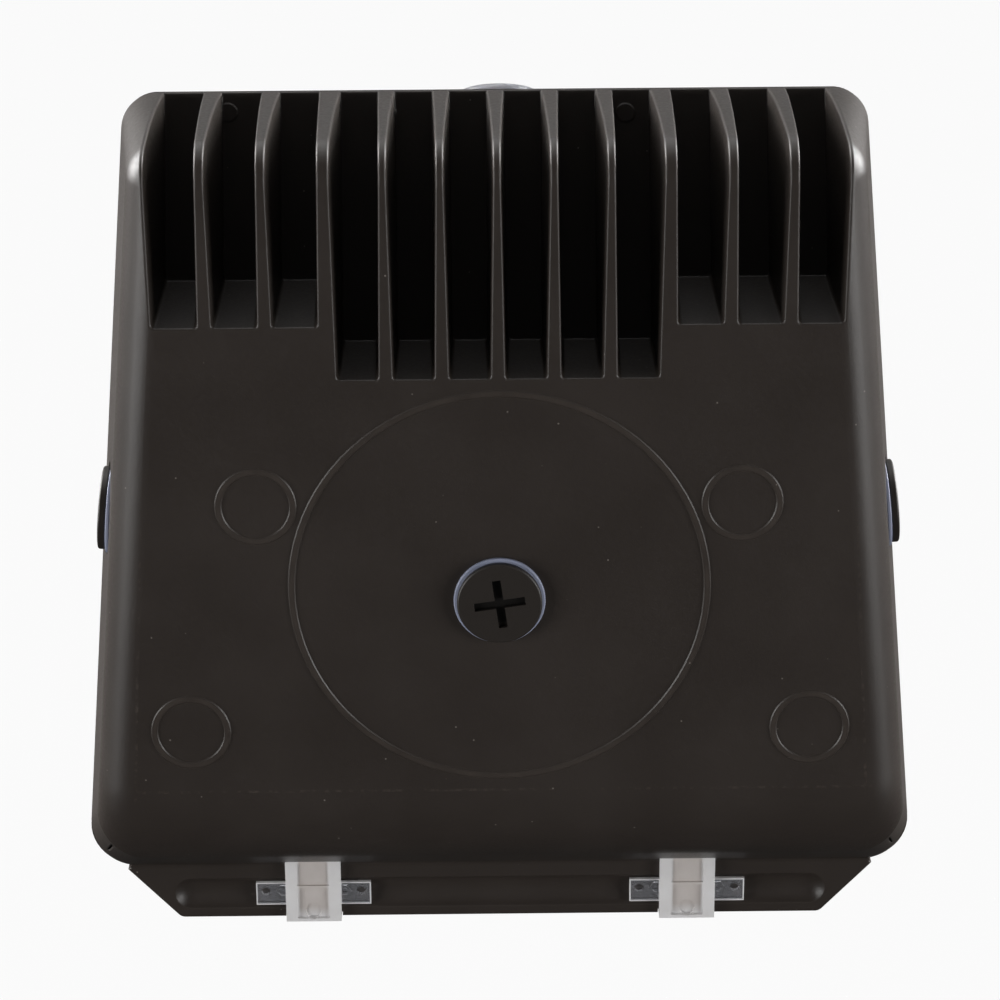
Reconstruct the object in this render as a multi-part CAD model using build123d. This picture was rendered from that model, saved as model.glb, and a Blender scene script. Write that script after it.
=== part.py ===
from build123d import *
import os
from math import atan2, cos, degrees, hypot, radians, sin, tan

# Wall pack light. Millimetres, +Z up, +X to the right of someone who faces the front.
# The wall is the plane Y = 0 and the light stands out from it towards -Y.
# "Depth" is the distance from the wall, so depth = -Y.
# The origin is the centre of the junction box ring on the back.

# ---- back housing: outside ----
rim_depth = 63.0            # wall to the joint face between housing and door
top_height = 122.5          # ring centre to the top
rim_half_width = 113.2      # half width of the joint face at the ring centre's height
rim_foot_radius = 13.0      # lower corners of the joint face
rim_foot = 116.9            # ring centre down to the foot of the joint face
side_flare = 5.05           # degrees, each side spreads towards the bottom
draft = 6.3                 # degrees, each side narrows towards the wall
side_edge_radius = 10.5     # rounding along the sides, over the top bend as well
crown_radius = 240.0        # the top is slightly domed from the wall to the joint face
crown_fall = 8.0            # degrees, its fall to the front at the joint face
top_bend_radius = 11.0
belly_start = 61.0          # ring centre down to where the flat back starts to curve
belly_radius = 34.2
belly_angle = 60.0          # degrees turned before the straight run to the flange

# ---- back housing: flange below the box ----
flange_thickness = 5.5
flange_foot = 132.3         # ring centre down to the flange's lower edge
chamfer_half_width = 111.4  # where the corner cut leaves the box
chamfer_height = 116.0
chamfer_run = 15.3
flange_corner_radius = 3.0
flange_root_inset = 14.0    # the strip's upper edge lies inside the box
flange_edge_radius = 1.4
belly_cove_radius = 2.5     # in the corner between the belly and the flange
belly_corner_radius = 14.0  # where the belly's straight run turns into the sides
corner_crease = 0.03        # the wider rounding dips this far below the faces it joins
channel_length = 195.0
channel_height = 10.0
channel_sag = 2.4
channel_drop = 123.85       # ring centre down to the channel's middle

# ---- back housing: walls and cooling slots ----
wall = 4.5
back_wall = 3.5
top_wall = 10.5             # the joint face is widest above the lamp board
cavity_foot = 102.0
led_wall = 4.0              # slanted wall between the slots and the lamp board
slot_land = 0.9             # left between the slot floors' upper ends and the joint face
slot_floor_angle = 27.3     # degrees from upright
slot_draft = 1.25
long_slot_drop = 62.0       # top of the joint face down to the six middle slots' ends
short_slot_drop = 47.1
long_slot_foot_width = 11.0
short_slot_foot_width = 12.0
slot_spread = 0.93          # degrees, each slot side opens upwards
long_slot_pitch = 14.93
short_slot_pitch = 15.9
slot_group_gap = 16.3       # from the last long slot to the first short one
slot_edge_radius = 0.6
slot_corner_radius = 1.1
slot_margin = 4.0           # beyond the outermost slots' sides

# ---- marks on the back ----
relief = 0.4                # the rings stand this far out of the back, to the wall
box_ring_radius = 57.5
pad_ring_radius = 11.09
ring_band = 2.0
upper_pad_x = 65.57
upper_pad_z = 24.66
lower_pad_x = 85.43
lower_pad_z = -42.41
ejector_mark_radius = 2.6
ejector_mark_height = 0.35
ejector_marks_at = ((29.7, 5.4), (-35.8, 5.8), (73.4, 5.0))   # (x, below the top)

# ---- conduit entries and their plugs ----
entry_radius = 10.5
entry_boss_wall = 2.5
entry_boss_length = 13.0
rear_entry_z = -3.2
side_entry_z = 12.2
side_entry_depth = 31.0
side_seat_sink = 1.4        # flat seats cut square to X in the drafted sides
side_seat_play = 0.6
washer_radius = 12.5
washer_thickness = 1.2
plug_flange_radius = 11.6
plug_flange_thickness = 2.2
plug_edge_radius = 0.6
plug_body_length = 11.0
plug_body_clearance = 0.1
cross_length = 14.0
cross_width = 2.4
cross_depth = 1.5
cross_turn = 8.0

# ---- hinge clips and pins ----
clip_x = 56.0
clip_width = 16.5
clip_top = 111.9
clip_thickness = 2.6
clip_leg = 1.8
clip_play = 0.3
clip_panel_width = 9.6
clip_panel_recess = 0.7
clip_step_drop = 120.3
clip_dimple_radius = 2.4
wing_length = 34.4
wing_height = 7.4
wing_thickness = 1.2
wing_sink = 0.6             # the wing's underside lies this far down in the channel
wing_hole_radius = 1.3
wing_hole_inset = 2.9
wing_hole_rise = 0.8        # holes and frame lie above the wing's middle
wing_frame_half = 2.0
wing_rib = 0.8
wing_rib_height = 0.6
clip_pocket_depth = 61.0
eye_radius = 3.3
pin_radius = 1.5
pin_length = 26.0
pin_running_gap = 0.08
bead_radius = 3.8

# ---- door ----
door_gap = 0.6              # housing rim to the door's back face, bridged by the seal
door_flange = 4.5
roof_angle = 29.5           # degrees below level
brow_depth = 108.0
chin_depth = 77.7           # the face leans back from the brow to here
brow_radius = 8.0
chin_radius = 6.0
door_draft = 2.0
door_side_wall = 6.2
door_wall = 3.5
window_inset = 28.4
face_foot = 118.0           # ring centre down to the foot of the door's face
window_drop = 42.5          # top of the joint face down to the window
window_foot = 84.0
window_corner_radius = 10.0

# ---- seals ----
seal_inset = 2.0
seal_width = 2.6
seal_depth = 3.0
seal_stand = 0.3
seal_drop = 107.0
seal_corner_radius = 9.0

# ---- lens and what holds it ----
lens_overlap = 6.0
lens_flange = 4.0
lens_bulge = 7.5
lens_window_play = 0.6
lens_edge_radius = 3.0
lens_seal_thickness = 1.5
lens_seal_width = 4.5
lens_boss_radius = 3.4
lens_boss_inset = 17.4
lens_boss_margin = 36.0     # window's top down to the highest screws
lens_boss_low_rows = (-68.0, 0.0)
lens_clip_length = 11.0
lens_clip_width = 12.0
lens_clip_thickness = 1.2
small_screw_radius = 1.5
small_head_radius = 2.8
small_head_height = 1.8
small_screw_length = 5.0

# ---- door screws ----
door_screw_x = 91.0
door_screw_drop = 52.5
door_screw_radius = 2.0
door_screw_play = 0.6
door_screw_bite = 6.0
door_screw_head_radius = 4.2
door_screw_head_height = 2.6
door_screw_well = 4.5
door_boss_radius = 6.0

# ---- photocell on the roof ----
photocell_share = 0.57      # of the roof's length, from the joint
photocell_x = -1.1
photocell_base_radius = 13.0
photocell_base_height = 1.6
photocell_cap_radius = 12.2
photocell_cap_height = 3.8
photocell_cap_wall = 1.2
photocell_cap_edge = 2.4
photocell_neck_radius = 6.0
photocell_neck_length = 12.0
photocell_nut_flats = 16.0
photocell_nut_height = 4.0
photocell_seal_thickness = 1.0
sensor_radius = 2.6
sensor_height = 1.6

# ---- lamp board ----
board_length = 152.0
board_height = 46.0
board_thickness = 1.6
board_drop = 37.5           # top of the joint face down to the board's centre
led_columns = 8
led_rows = 2
led_pitch_x = 17.5
led_pitch_y = 20.0
led_size = 3.5
led_height = 0.9
optic_base = 2.4
optic_pocket = 1.4
optic_pocket_size = 5.4
optic_dome_radius = 6.6
optic_dome_height = 3.4
optic_margin = 2.0
board_screw_inset = 4.0
board_screw_length = 4.4
board_hole_depth = 3.0

# ---- driver ----
driver_length = 118.0
driver_height = 44.0
driver_thickness = 25.0
driver_centre_z = -52.0
driver_back_depth = 9.0
driver_sheet = 1.2
driver_ear = 9.0
driver_boss_radius = 4.0
driver_board_stand = 3.0
driver_lead_hole_radius = 2.0
driver_spacer_inset = 7.0
driver_spacer_radius = 2.5
transformer = ((-12.0, 14.0), 12.0, 17.0)    # (x range), half height, stand
choke = ((-36.0, -24.0), 9.0, 13.0)
capacitors = (                               # (x, rise, radius, stand)
    (30.0, 8.0, 6.5, 16.0), (30.0, -8.0, 6.5, 16.0), (-46.0, 4.0, 5.0, 12.0))

# ---- terminal block and ground screw ----
terminal_length = 30.0
terminal_height = 17.0
terminal_depth = 13.0
terminal_x = -52.0
terminal_z = 12.0
terminal_stand = 3.0
terminal_poles = 3
terminal_way_radius = 1.6
terminal_well_radius = 2.2
terminal_screw_height = 3.0
ground_x = 40.0
ground_z = 22.0
ground_boss_stand = 4.0

# ---- reflector tray over the wiring ----
tray_thickness = 1.0
tray_top_depth = 41.5
tray_foot_depth = 57.0
tray_top_gap = 7.5          # long slots' ends down to the tray
tray_foot_gap = 5.0         # cavity's foot up to the tray
tray_side_play = 4.0
tray_corner_radius = 8.0
tray_boss_x = 86.0
tray_boss_inset = 17.0      # from the tray's top to the upper bosses
tray_boss_low_z = -62.0
tray_boss_radius = 4.0

touch = 0.02                # flat faces of one assembly that bear on each other
beyond = 20.0               # how far cutting bodies reach past what they cut
half_span = 200.0           # half the length of profiles run across the light

slope = tan(radians(side_flare))
back_depth = relief
cavity_top = top_height - top_wall
long_slot_foot = top_height - long_slot_drop
short_slot_foot = top_height - short_slot_drop
board_centre_z = top_height - board_drop
window_top = top_height - window_drop
door_screw_z = top_height - door_screw_drop
tray_top_z = long_slot_foot - tray_top_gap
tray_foot_z = tray_foot_gap - cavity_foot
tray_boss_rows = (tray_top_z - tray_boss_inset, tray_boss_low_z)
lens_boss_rows = (*lens_boss_low_rows, window_top - lens_boss_margin)
door_back = rim_depth + door_gap
pin_depth = door_back + bead_radius
pin_z = -(flange_foot - bead_radius)


# ---------------------------------------------------------------- helpers
def facing(depth):
    """Plane across the light at a depth: local x is X, local y is Z, normal to the front."""
    return Plane(origin=(0, -depth, 0), x_dir=(1, 0, 0), z_dir=(0, -1, 0))


def wallward(depth):
    """The same plane with its normal towards the wall. Local x is -X."""
    return Plane(origin=(0, -depth, 0), x_dir=(-1, 0, 0), z_dir=(0, 1, 0))


def sideways(x=0.0):
    """Plane at an X: local x is depth, local y is Z."""
    return Plane(origin=(x, 0, 0), x_dir=(0, -1, 0), z_dir=(-1, 0, 0))


def tilted(depth, z, angle, x=0.0):
    """Plane that faces the front and leans down by angle: local y runs up along it."""
    a = radians(angle)
    return Plane(origin=(x, -depth, z), x_dir=(1, 0, 0), z_dir=(0, -cos(a), -sin(a)))


def moved(plane, x=0.0, y=0.0, z=0.0):
    """The same plane, shifted along its own axes."""
    return Plane(plane.location * Pos(x, y, z))


def polygon(points):
    return make_face(Polyline(*points, close=True))


def across(profile, half=half_span):
    """Solid of a (depth, z) profile run both ways along X."""
    return extrude(sideways() * profile, amount=half, both=True)


def block(x, depth, z):
    """Box from three (low, high) pairs."""
    size = [b - a for a, b in (x, depth, z)]
    middle = [(a + b) / 2 for a, b in (x, depth, z)]
    return Pos(middle[0], -middle[1], middle[2]) * Box(*size)


def peg(plane, radius, low, high):
    """Cylinder on a plane's normal, from low to high."""
    return plane * Pos(0, 0, (low + high) / 2) * Cylinder(radius, high - low)


def rod_x(depth, z, radius, x_low, x_high):
    """Cylinder along X."""
    turned = Rot(0, 90, 0) * Cylinder(radius, x_high - x_low)
    return Pos((x_low + x_high) / 2, -depth, z) * turned


def tapered(profile, x, half, rise, run, depth):
    """Profile run along X between two flat sides.

    half is each side's distance from x at depth and at z = 0, rise how much it grows
    for each millimetre of height, and run for each millimetre of depth.
    """
    solid = Pos(x, 0, 0) * across(profile)
    reach = 3 * half_span
    for side in (-1, 1):
        plane = Plane(origin=(x + side * half, -depth, 0), z_dir=(side, run, -rise))
        solid -= plane * Pos(0, 0, reach / 2) * Box(reach, reach, reach)
    return solid


def half_width(z, inset=0.0):
    """Half width of the joint face at a height, less an inset square to the side."""
    return rim_half_width - slope * z - inset / cos(radians(side_flare))


def body_outline(inset, top, foot, foot_radius, top_radius=0.0):
    """Flared outline of the box, inset from its sides, between two heights."""
    corners = [
        (-half_width(foot, inset), foot),
        (half_width(foot, inset), foot),
        (half_width(top, inset), top),
        (-half_width(top, inset), top),
    ]
    face = polygon(corners)
    low = face.vertices().filter_by(lambda v: abs(v.Y - foot) < 0.01)
    face = fillet(low, foot_radius)
    if top_radius:
        high = face.vertices().filter_by(lambda v: abs(v.Y - top) < 0.01)
        face = fillet(high, top_radius)
    return face


def flange_outline():
    """Strip below the box with its corners cut off."""
    outline = polygon([
        (-chamfer_half_width, -chamfer_height),
        (-chamfer_half_width + chamfer_run, -flange_foot),
        (chamfer_half_width - chamfer_run, -flange_foot),
        (chamfer_half_width, -chamfer_height),
        (chamfer_half_width - flange_root_inset, -cavity_foot),
        (-chamfer_half_width + flange_root_inset, -cavity_foot),
    ])
    low = outline.vertices().filter_by(lambda v: abs(v.Y + flange_foot) < 0.01)
    return fillet(low, flange_corner_radius)


def slant_depth(z, offset=0.0):
    """Depth of the slot floors at a height, or of a face parallel to them in front."""
    lean = radians(slot_floor_angle)
    return rim_depth - slot_land - (top_height - z) * tan(lean) + offset / cos(lean)


# ---------------------------------------------------------------- back housing
def belly_points(inset):
    """Arc of the curved belly, offset inwards: its start, middle and end (depth, z)."""
    points = []
    for share in (0.0, 0.5, 1.0):
        a = radians(belly_angle * share)
        r = belly_radius - inset
        centre_depth = back_depth + belly_radius
        points.append((centre_depth - r * cos(a), -belly_start - r * sin(a)))
    return points


def belly_run_depth(end, z):
    """Depth reached by the straight run that leaves the belly's end, at a height z."""
    return end[0] + (end[1] - z) * tan(radians(belly_angle))


def crown_centre():
    """(depth, z) of the domed top's centre."""
    fall = radians(crown_fall)
    return rim_depth - crown_radius * sin(fall), top_height - crown_radius * cos(fall)


def top_z(depth):
    """Height of the domed top at a depth."""
    centre_depth, centre_z = crown_centre()
    return centre_z + (crown_radius ** 2 - (depth - centre_depth) ** 2) ** 0.5


def bend_centre():
    """(depth, z) of the top bend's centre: it touches the domed top and the flat back."""
    crown_depth, crown_z = crown_centre()
    depth = back_depth + top_bend_radius
    reach = crown_radius - top_bend_radius
    return depth, crown_z + (reach ** 2 - (depth - crown_depth) ** 2) ** 0.5


def bend_start():
    """Angle at which the top bend leaves the domed top, above the way to the front."""
    (depth, z), (crown_depth, crown_z) = bend_centre(), crown_centre()
    return degrees(atan2(z - crown_z, depth - crown_depth))


def bend_point(angle):
    """Point of the top bend, by its angle above the way to the front."""
    depth, z = bend_centre()
    a = radians(angle)
    return depth + top_bend_radius * cos(a), z + top_bend_radius * sin(a)


def housing_profile(end_depth):
    """Side view of the box out to a depth: top, bend, flat back, belly and foot."""
    start, middle, end = belly_points(0)
    foot_z = end[1] - (end_depth - end[0]) / tan(radians(belly_angle))
    bend = [bend_point(a) for a in (bend_start(), (bend_start() + 180) / 2, 180)]
    head = (end_depth, top_z(end_depth))
    lines = [
        ThreePointArc(head, (rim_depth / 2, top_z(rim_depth / 2)), bend[0]),
        ThreePointArc(*bend),
        Line(bend[2], start),
        ThreePointArc(start, middle, end),
        Line(end, (end_depth, foot_z)),
        Line((end_depth, foot_z), head),
    ]
    return make_face(lines)


def side_edges(solid, end_depth):
    """Edges down both sides of a tapered solid, except on its cut end."""
    def wanted(edge):
        on_end = all(abs(p.Y + end_depth) < 0.01 for p in (edge @ 0, edge @ 1))
        return abs((edge @ 0.5).X) > half_width(0) / 2 and not on_end

    return [edge for edge in solid.edges() if wanted(edge)]


def rounded_box():
    """Outside of the box, with the long rounding down both sides, cut off at the rim."""
    end = rim_depth + beyond
    solid = tapered(housing_profile(end), 0, half_width(0), -slope, tan(radians(draft)), rim_depth)
    solid = fillet(side_edges(solid, end), side_edge_radius)
    for side in (-1, 1):
        solid = solid - belly_corner(side)
    return solid & extrude(facing(0) * rim_outline(), amount=rim_depth)


def belly_corner(side):
    """What a wider rounding takes off along the edge of the belly's straight run."""
    end = belly_points(0)[2]
    corner_z = end[1] - (rim_depth - end[0]) / tan(radians(belly_angle))
    corner = Vector(side * half_width(corner_z), -rim_depth, corner_z)
    turn = radians(belly_angle)
    out_side = Vector(side, tan(radians(draft)), slope).normalized()
    out_belly = Vector(0, cos(turn), -sin(turn))
    along = out_side.cross(out_belly).normalized()
    plane = Plane(origin=corner, x_dir=out_side, z_dir=along)
    belly_way = plane.to_local_coords(corner + out_belly)
    radius = belly_corner_radius
    sink = radius - corner_crease
    away = atan2(belly_way.Y, belly_way.X) / 2
    reach = sink / cos(away)
    middle = (-reach * cos(away), -reach * sin(away))
    tip = (-middle[0] / 2, -middle[1] / 2)
    feet = [(middle[0] + radius, middle[1]),
            (middle[0] + radius * cos(2 * away), middle[1] + radius * sin(2 * away))]
    wedge = polygon([tip, feet[0], middle, feet[1]]) - Pos(*middle) * Circle(radius)
    return extrude(plane * wedge, amount=half_span, both=True)


def rim_outline():
    """Outline of the joint face, open upwards past the domed top."""
    return body_outline(0, top_height + beyond, -rim_foot, rim_foot_radius)


def slot_centres():
    """(x, is_long) of the twelve slots."""
    centres = []
    for side in (-1, 1):
        for i in range(3):
            centres.append((side * (i + 0.5) * long_slot_pitch, True))
        last_long = 2.5 * long_slot_pitch
        for i in range(3):
            x = last_long + slot_group_gap + i * short_slot_pitch
            centres.append((side * x, False))
    return centres


def slot_cutter(x, is_long):
    """One slot: open to the back and the top, closed by the slanted floor."""
    foot = long_slot_foot if is_long else short_slot_foot
    half_foot = (long_slot_foot_width if is_long else short_slot_foot_width) / 2
    rise = tan(radians(slot_spread))
    run = tan(radians(slot_draft))
    top = top_height + beyond
    floor_foot = slant_depth(foot)
    profile = polygon([
        (-beyond, top), (slant_depth(top), top),
        (floor_foot, foot + floor_foot * run), (-beyond, foot - beyond * run),
    ])
    cutter = tapered(profile, x, half_foot - foot * rise, rise, -run, back_depth)
    low = cutter.edges().filter_by(
        lambda e: abs((e @ 0).Z - foot) < 1 and abs((e @ 1).Z - foot) < 1
        and abs((e @ 0).X - (e @ 1).X) < 2)
    return fillet(low, slot_corner_radius)


def on_slotted_skin(point):
    """Whether a point lies on the flat back, the top bend or the top."""
    depth, z = -point.Y, point.Z
    centre_depth, centre_z = bend_centre()
    if z <= centre_z:
        return abs(depth - back_depth) < 0.03
    if depth >= bend_point(bend_start())[0]:
        return abs(z - top_z(depth)) < 0.03
    return abs(hypot(depth - centre_depth, z - centre_z) - top_bend_radius) < 0.03


def slot_mouth_edges(box):
    slot_reach = max(x for x, _ in slot_centres()) + short_slot_foot_width / 2 + slot_margin

    def wanted(edge):
        points = [edge @ share for share in (0.0, 0.25, 0.5, 0.75, 1.0)]
        middle = points[2]
        among_slots = abs(middle.X) < slot_reach and middle.Z > long_slot_foot - 1
        narrow = abs(points[0].X - points[4].X) < 2 * short_slot_foot_width
        return among_slots and narrow and all(on_slotted_skin(p) for p in points)

    return [edge for edge in box.edges() if wanted(edge)]


def cut_slots(box):
    for x, is_long in slot_centres():
        box = box - slot_cutter(x, is_long)
    return fillet(slot_mouth_edges(box), slot_edge_radius)


def housing_cavity():
    """Inside of the box: lamp board wall, wiring space and belly."""
    start, middle, end = belly_points(back_wall)
    front = rim_depth + 1
    shelf = long_slot_foot - wall
    face_top = slant_depth(cavity_top, led_wall)
    face_foot = slant_depth(shelf, led_wall)
    inner_back = back_depth + back_wall
    floor_depth = belly_run_depth(end, -cavity_foot)
    lines = [
        Line((front, cavity_top), (face_top, cavity_top)),
        Line((face_top, cavity_top), (face_foot, shelf)),
        Line((face_foot, shelf), (inner_back, shelf)),
        Line((inner_back, shelf), start),
        ThreePointArc(start, middle, end),
        Line(end, (floor_depth, -cavity_foot)),
        Line((floor_depth, -cavity_foot), (front, -cavity_foot)),
        Line((front, -cavity_foot), (front, cavity_top)),
    ]
    return tapered(
        make_face(lines), 0, half_width(0, wall), -slope, tan(radians(draft)), rim_depth
    )


def flange_plate():
    plate = extrude(wallward(rim_depth) * flange_outline(), amount=flange_thickness)
    back_edges = [
        e for e in plate.edges()
        if abs((e @ 0.5).Y + rim_depth - flange_thickness) < 0.01 and (e @ 0.5).Z < -chamfer_height
    ]
    return fillet(back_edges, flange_edge_radius)


def belly_cove():
    """Concave rounding in the corner between the belly and the flange's back."""
    end = belly_points(0)[2]
    depth = rim_depth - flange_thickness
    turn = radians(belly_angle)
    corner_z = end[1] - (depth - end[0]) / tan(turn)
    reach = belly_cove_radius * tan(turn / 2)
    up = (depth - reach * sin(turn), corner_z + reach * cos(turn))
    down = (depth, corner_z - reach)
    centre = (depth - belly_cove_radius, corner_z - reach)
    wedge = polygon([
        up, (up[0] + 1, up[1]), (depth + 1, corner_z), (depth + 1, down[1]), down
    ])
    return across(wedge - Pos(*centre) * Circle(belly_cove_radius), chamfer_half_width - 1)


def flange_channel():
    """Long shallow trough along the flange's back, round at both ends."""
    half = channel_height / 2
    radius = (half * half + channel_sag * channel_sag) / (2 * channel_sag)
    depth = rim_depth - flange_thickness - radius + channel_sag
    reach = channel_length / 2 - half
    trough = rod_x(depth, -channel_drop, radius, -reach, reach)
    for side in (-1, 1):
        trough += Pos(side * reach, -depth, -channel_drop) * Sphere(radius)
    return trough


def clip_openings():
    """Pocket at the belly's foot and notch in the lower edge, for each hinge clip."""
    cuts = []
    for side in (-1, 1):
        half = clip_width / 2 + clip_play
        x = (side * clip_x - half, side * clip_x + half)
        flange_back = rim_depth - flange_thickness
        pocket_z = (-clip_top - clip_leg - clip_play, -clip_top + 2 * clip_play)
        cuts.append(block(x, (flange_back - beyond, clip_pocket_depth), pocket_z))
        shelf_z = (pocket_z[0] - flange_thickness, pocket_z[1])
        cuts.append(block(x, (flange_back - beyond, flange_back), shelf_z))
        notch_z = (-flange_foot - 1, -flange_foot + clip_leg)
        cuts.append(block(x, (flange_back - 1, rim_depth + 1), notch_z))
    return cuts


def side_entry(side):
    """Plane of the flat seat in a side wall, its normal out of the entry."""
    x = half_width(side_entry_z) - (rim_depth - side_entry_depth) * tan(radians(draft))
    return Plane(
        origin=(side * (x - side_seat_sink), -side_entry_depth, side_entry_z),
        x_dir=(0, side, 0), z_dir=(side, 0, slope),
    )


def entry_places():
    """The three conduit entries' planes, on the outside with the normal outwards."""
    return {
        "rear": Plane(
            origin=(0, -back_depth, rear_entry_z), x_dir=(-1, 0, 0), z_dir=(0, 1, 0)
        ),
        "left": side_entry(-1),
        "right": side_entry(1),
    }


def ring_mark(x, z, radius):
    ring = Circle(radius) - Circle(radius - ring_band)
    mark = extrude(wallward(back_depth + 1) * Pos(-x, z) * ring, amount=relief + 1)
    top_edges = mark.edges().filter_by(lambda e: abs((e @ 0.5).Y) < 0.01)
    return chamfer(top_edges, relief * 0.75)


def ejector_marks():
    """Three round marks on the slot floors, high up."""
    marks = []
    lean = radians(slot_floor_angle)
    for x, drop in ejector_marks_at:
        z = top_height - drop
        plane = Plane(
            origin=(x, -slant_depth(z), z), x_dir=(1, 0, 0), z_dir=(0, cos(lean), sin(lean))
        )
        marks.append(peg(plane, ejector_mark_radius, -1, ejector_mark_height))
    return marks


def led_plane():
    """On the lamp board wall's front face, at the board's centre."""
    return tilted(slant_depth(board_centre_z, led_wall), board_centre_z, slot_floor_angle)


def tray_depth(z):
    """Depth of the reflector tray's back face at a height."""
    share = (tray_top_z - z) / (tray_top_z - tray_foot_z)
    return tray_top_depth + share * (tray_foot_depth - tray_top_depth)


def tray_plane(x, z):
    lean = degrees(atan2(tray_foot_depth - tray_top_depth, tray_top_z - tray_foot_z))
    return tilted(tray_depth(z), z, -lean, x)


def driver_ear_places():
    reach = driver_length / 2 + driver_ear / 2
    return [(side * reach, driver_centre_z) for side in (-1, 1)]


def terminal_boss_places():
    reach = terminal_length / 2 - terminal_boss_inset()
    return [(terminal_x + side * reach, terminal_z) for side in (-1, 1)]


def terminal_boss_inset():
    return 2 * small_screw_radius


def housing_bosses():
    """Screw bosses inside, each from within the wall it stands on."""
    bosses = []
    for x, z in driver_ear_places():
        bosses.append(peg(facing(back_depth + 1) * Pos(x, z), driver_boss_radius, 0,
                          driver_back_depth - back_depth - 1))
    for side in (-1, 1):
        for z in tray_boss_rows:
            bosses.append(peg(facing(back_depth + 1) * Pos(side * tray_boss_x, z),
                              tray_boss_radius, 0, tray_depth(z) - back_depth))
        bosses.append(peg(facing(0) * Pos(side * door_screw_x, door_screw_z),
                          door_boss_radius, 0, rim_depth))
    ground = facing(back_depth + 1) * Pos(ground_x, ground_z)
    bosses.append(peg(ground, tray_boss_radius, 0, back_wall + ground_boss_stand - 1))
    for x, z in terminal_boss_places():
        bosses.append(peg(facing(back_depth + 1) * Pos(x, z), tray_boss_radius, 0,
                          back_wall + terminal_stand - 1))
    return bosses


def screw_holes():
    """Threaded holes, drawn at the screws' own radius."""
    holes = []
    bite = small_screw_length + 1
    hole = small_screw_radius
    for x, z in driver_ear_places():
        holes.append(peg(facing(driver_back_depth) * Pos(x, z), hole, -bite, 1))
    for side in (-1, 1):
        for z in tray_boss_rows:
            holes.append(peg(tray_plane(side * tray_boss_x, z), hole, -bite, 2))
        door_hole = facing(rim_depth) * Pos(side * door_screw_x, door_screw_z)
        holes.append(peg(door_hole, door_screw_radius + door_screw_play,
                         -door_screw_bite - 4, 1))
    holes.append(peg(ground_seat(), hole, -bite, 1))
    for x, z in terminal_boss_places():
        plane = facing(back_depth + back_wall + terminal_stand) * Pos(x, z)
        holes.append(peg(plane, hole, -bite + 1, 1))
    for x, y in board_screw_places():
        holes.append(peg(led_plane() * Pos(x, y), hole, -board_hole_depth, 1))
    return holes


def ground_seat():
    return moved(facing(back_depth + back_wall + ground_boss_stand), ground_x, ground_z)


def board_screw_places():
    x = board_length / 2 - board_screw_inset
    return [(side * x, y) for side in (-1, 1) for y in (-led_pitch_y / 2, led_pitch_y / 2)]


def back_housing():
    body = cut_slots(rounded_box())
    body = body - housing_cavity()
    body = body + flange_plate()
    body = body + belly_cove()
    body = body - flange_channel()
    for cut in clip_openings():
        body = body - cut
    limit = across(boss_side_limit())
    for boss in housing_bosses():
        body = body + (boss & limit)
    for place in entry_places().values():
        body = body + peg(place, entry_radius + entry_boss_wall, -entry_boss_length, -1)
        body = body - peg(place, entry_radius, -entry_boss_length - 1, 1)
        body = body - peg(place, washer_radius + side_seat_play, 0, beyond)
    for hole in screw_holes():
        body = body - hole
    body = body + ring_mark(0, 0, box_ring_radius)
    for side in (-1, 1):
        body = body + ring_mark(side * upper_pad_x, upper_pad_z, pad_ring_radius)
        body = body + ring_mark(side * lower_pad_x, lower_pad_z, pad_ring_radius)
    for mark in ejector_marks():
        body = body + mark
    return body


def boss_side_limit():
    """Side view of where bosses may reach: up to the tray, and to the rim above it."""
    middle = led_wall / 2
    return polygon([
        (back_depth + 1, -cavity_foot), (tray_foot_depth, tray_foot_z),
        (tray_top_depth, tray_top_z), (rim_depth, tray_top_z), (rim_depth, cavity_top),
        (slant_depth(cavity_top, middle), cavity_top),
        (slant_depth(tray_top_z, middle), tray_top_z), (back_depth + 1, tray_top_z),
    ])


# ---------------------------------------------------------------- entry plugs
def entry_plug(place, turn):
    """Plug with a flange, a threaded body and a cross recess in its face."""
    seat = washer_thickness
    flange = peg(place, plug_flange_radius, seat, seat + plug_flange_thickness)
    far = flange.faces().sort_by(lambda f: -(f.center() - place.origin).length)[0]
    flange = fillet(far.edges(), plug_edge_radius)
    body = peg(place, entry_radius - plug_body_clearance, seat - plug_body_length, seat)
    top = seat + plug_flange_thickness
    arm = Box(cross_length, cross_width, 2 * cross_depth)
    cross = arm + Rot(0, 0, 90) * arm
    recess = place * Pos(0, 0, top) * Rot(0, 0, turn) * cross
    return flange + body - recess


def entry_washer(place):
    ring = peg(place, washer_radius, 0, washer_thickness)
    edges = ring.edges().filter_by(GeomType.CIRCLE)
    ring = fillet(edges, washer_thickness / 3)
    return ring - peg(place, entry_radius, -1, washer_thickness + 1)


# ---------------------------------------------------------------- hinge clips
def clip_side_view():
    """Side view of a clip: back plate, top leg, lower leg and hinge eye."""
    back = rim_depth - flange_thickness
    outer = back - clip_thickness
    leg_top = -flange_foot + clip_leg
    plate = polygon([
        (outer, -clip_top), (clip_pocket_depth - clip_play, -clip_top),
        (clip_pocket_depth - clip_play, -clip_top - clip_leg),
        (back, -clip_top - clip_leg), (back, leg_top - touch),
        (pin_depth, leg_top - touch), (pin_depth, -flange_foot), (outer, -flange_foot),
    ])
    eye = Pos(pin_depth, pin_z) * Circle(eye_radius)
    return plate + eye


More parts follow.
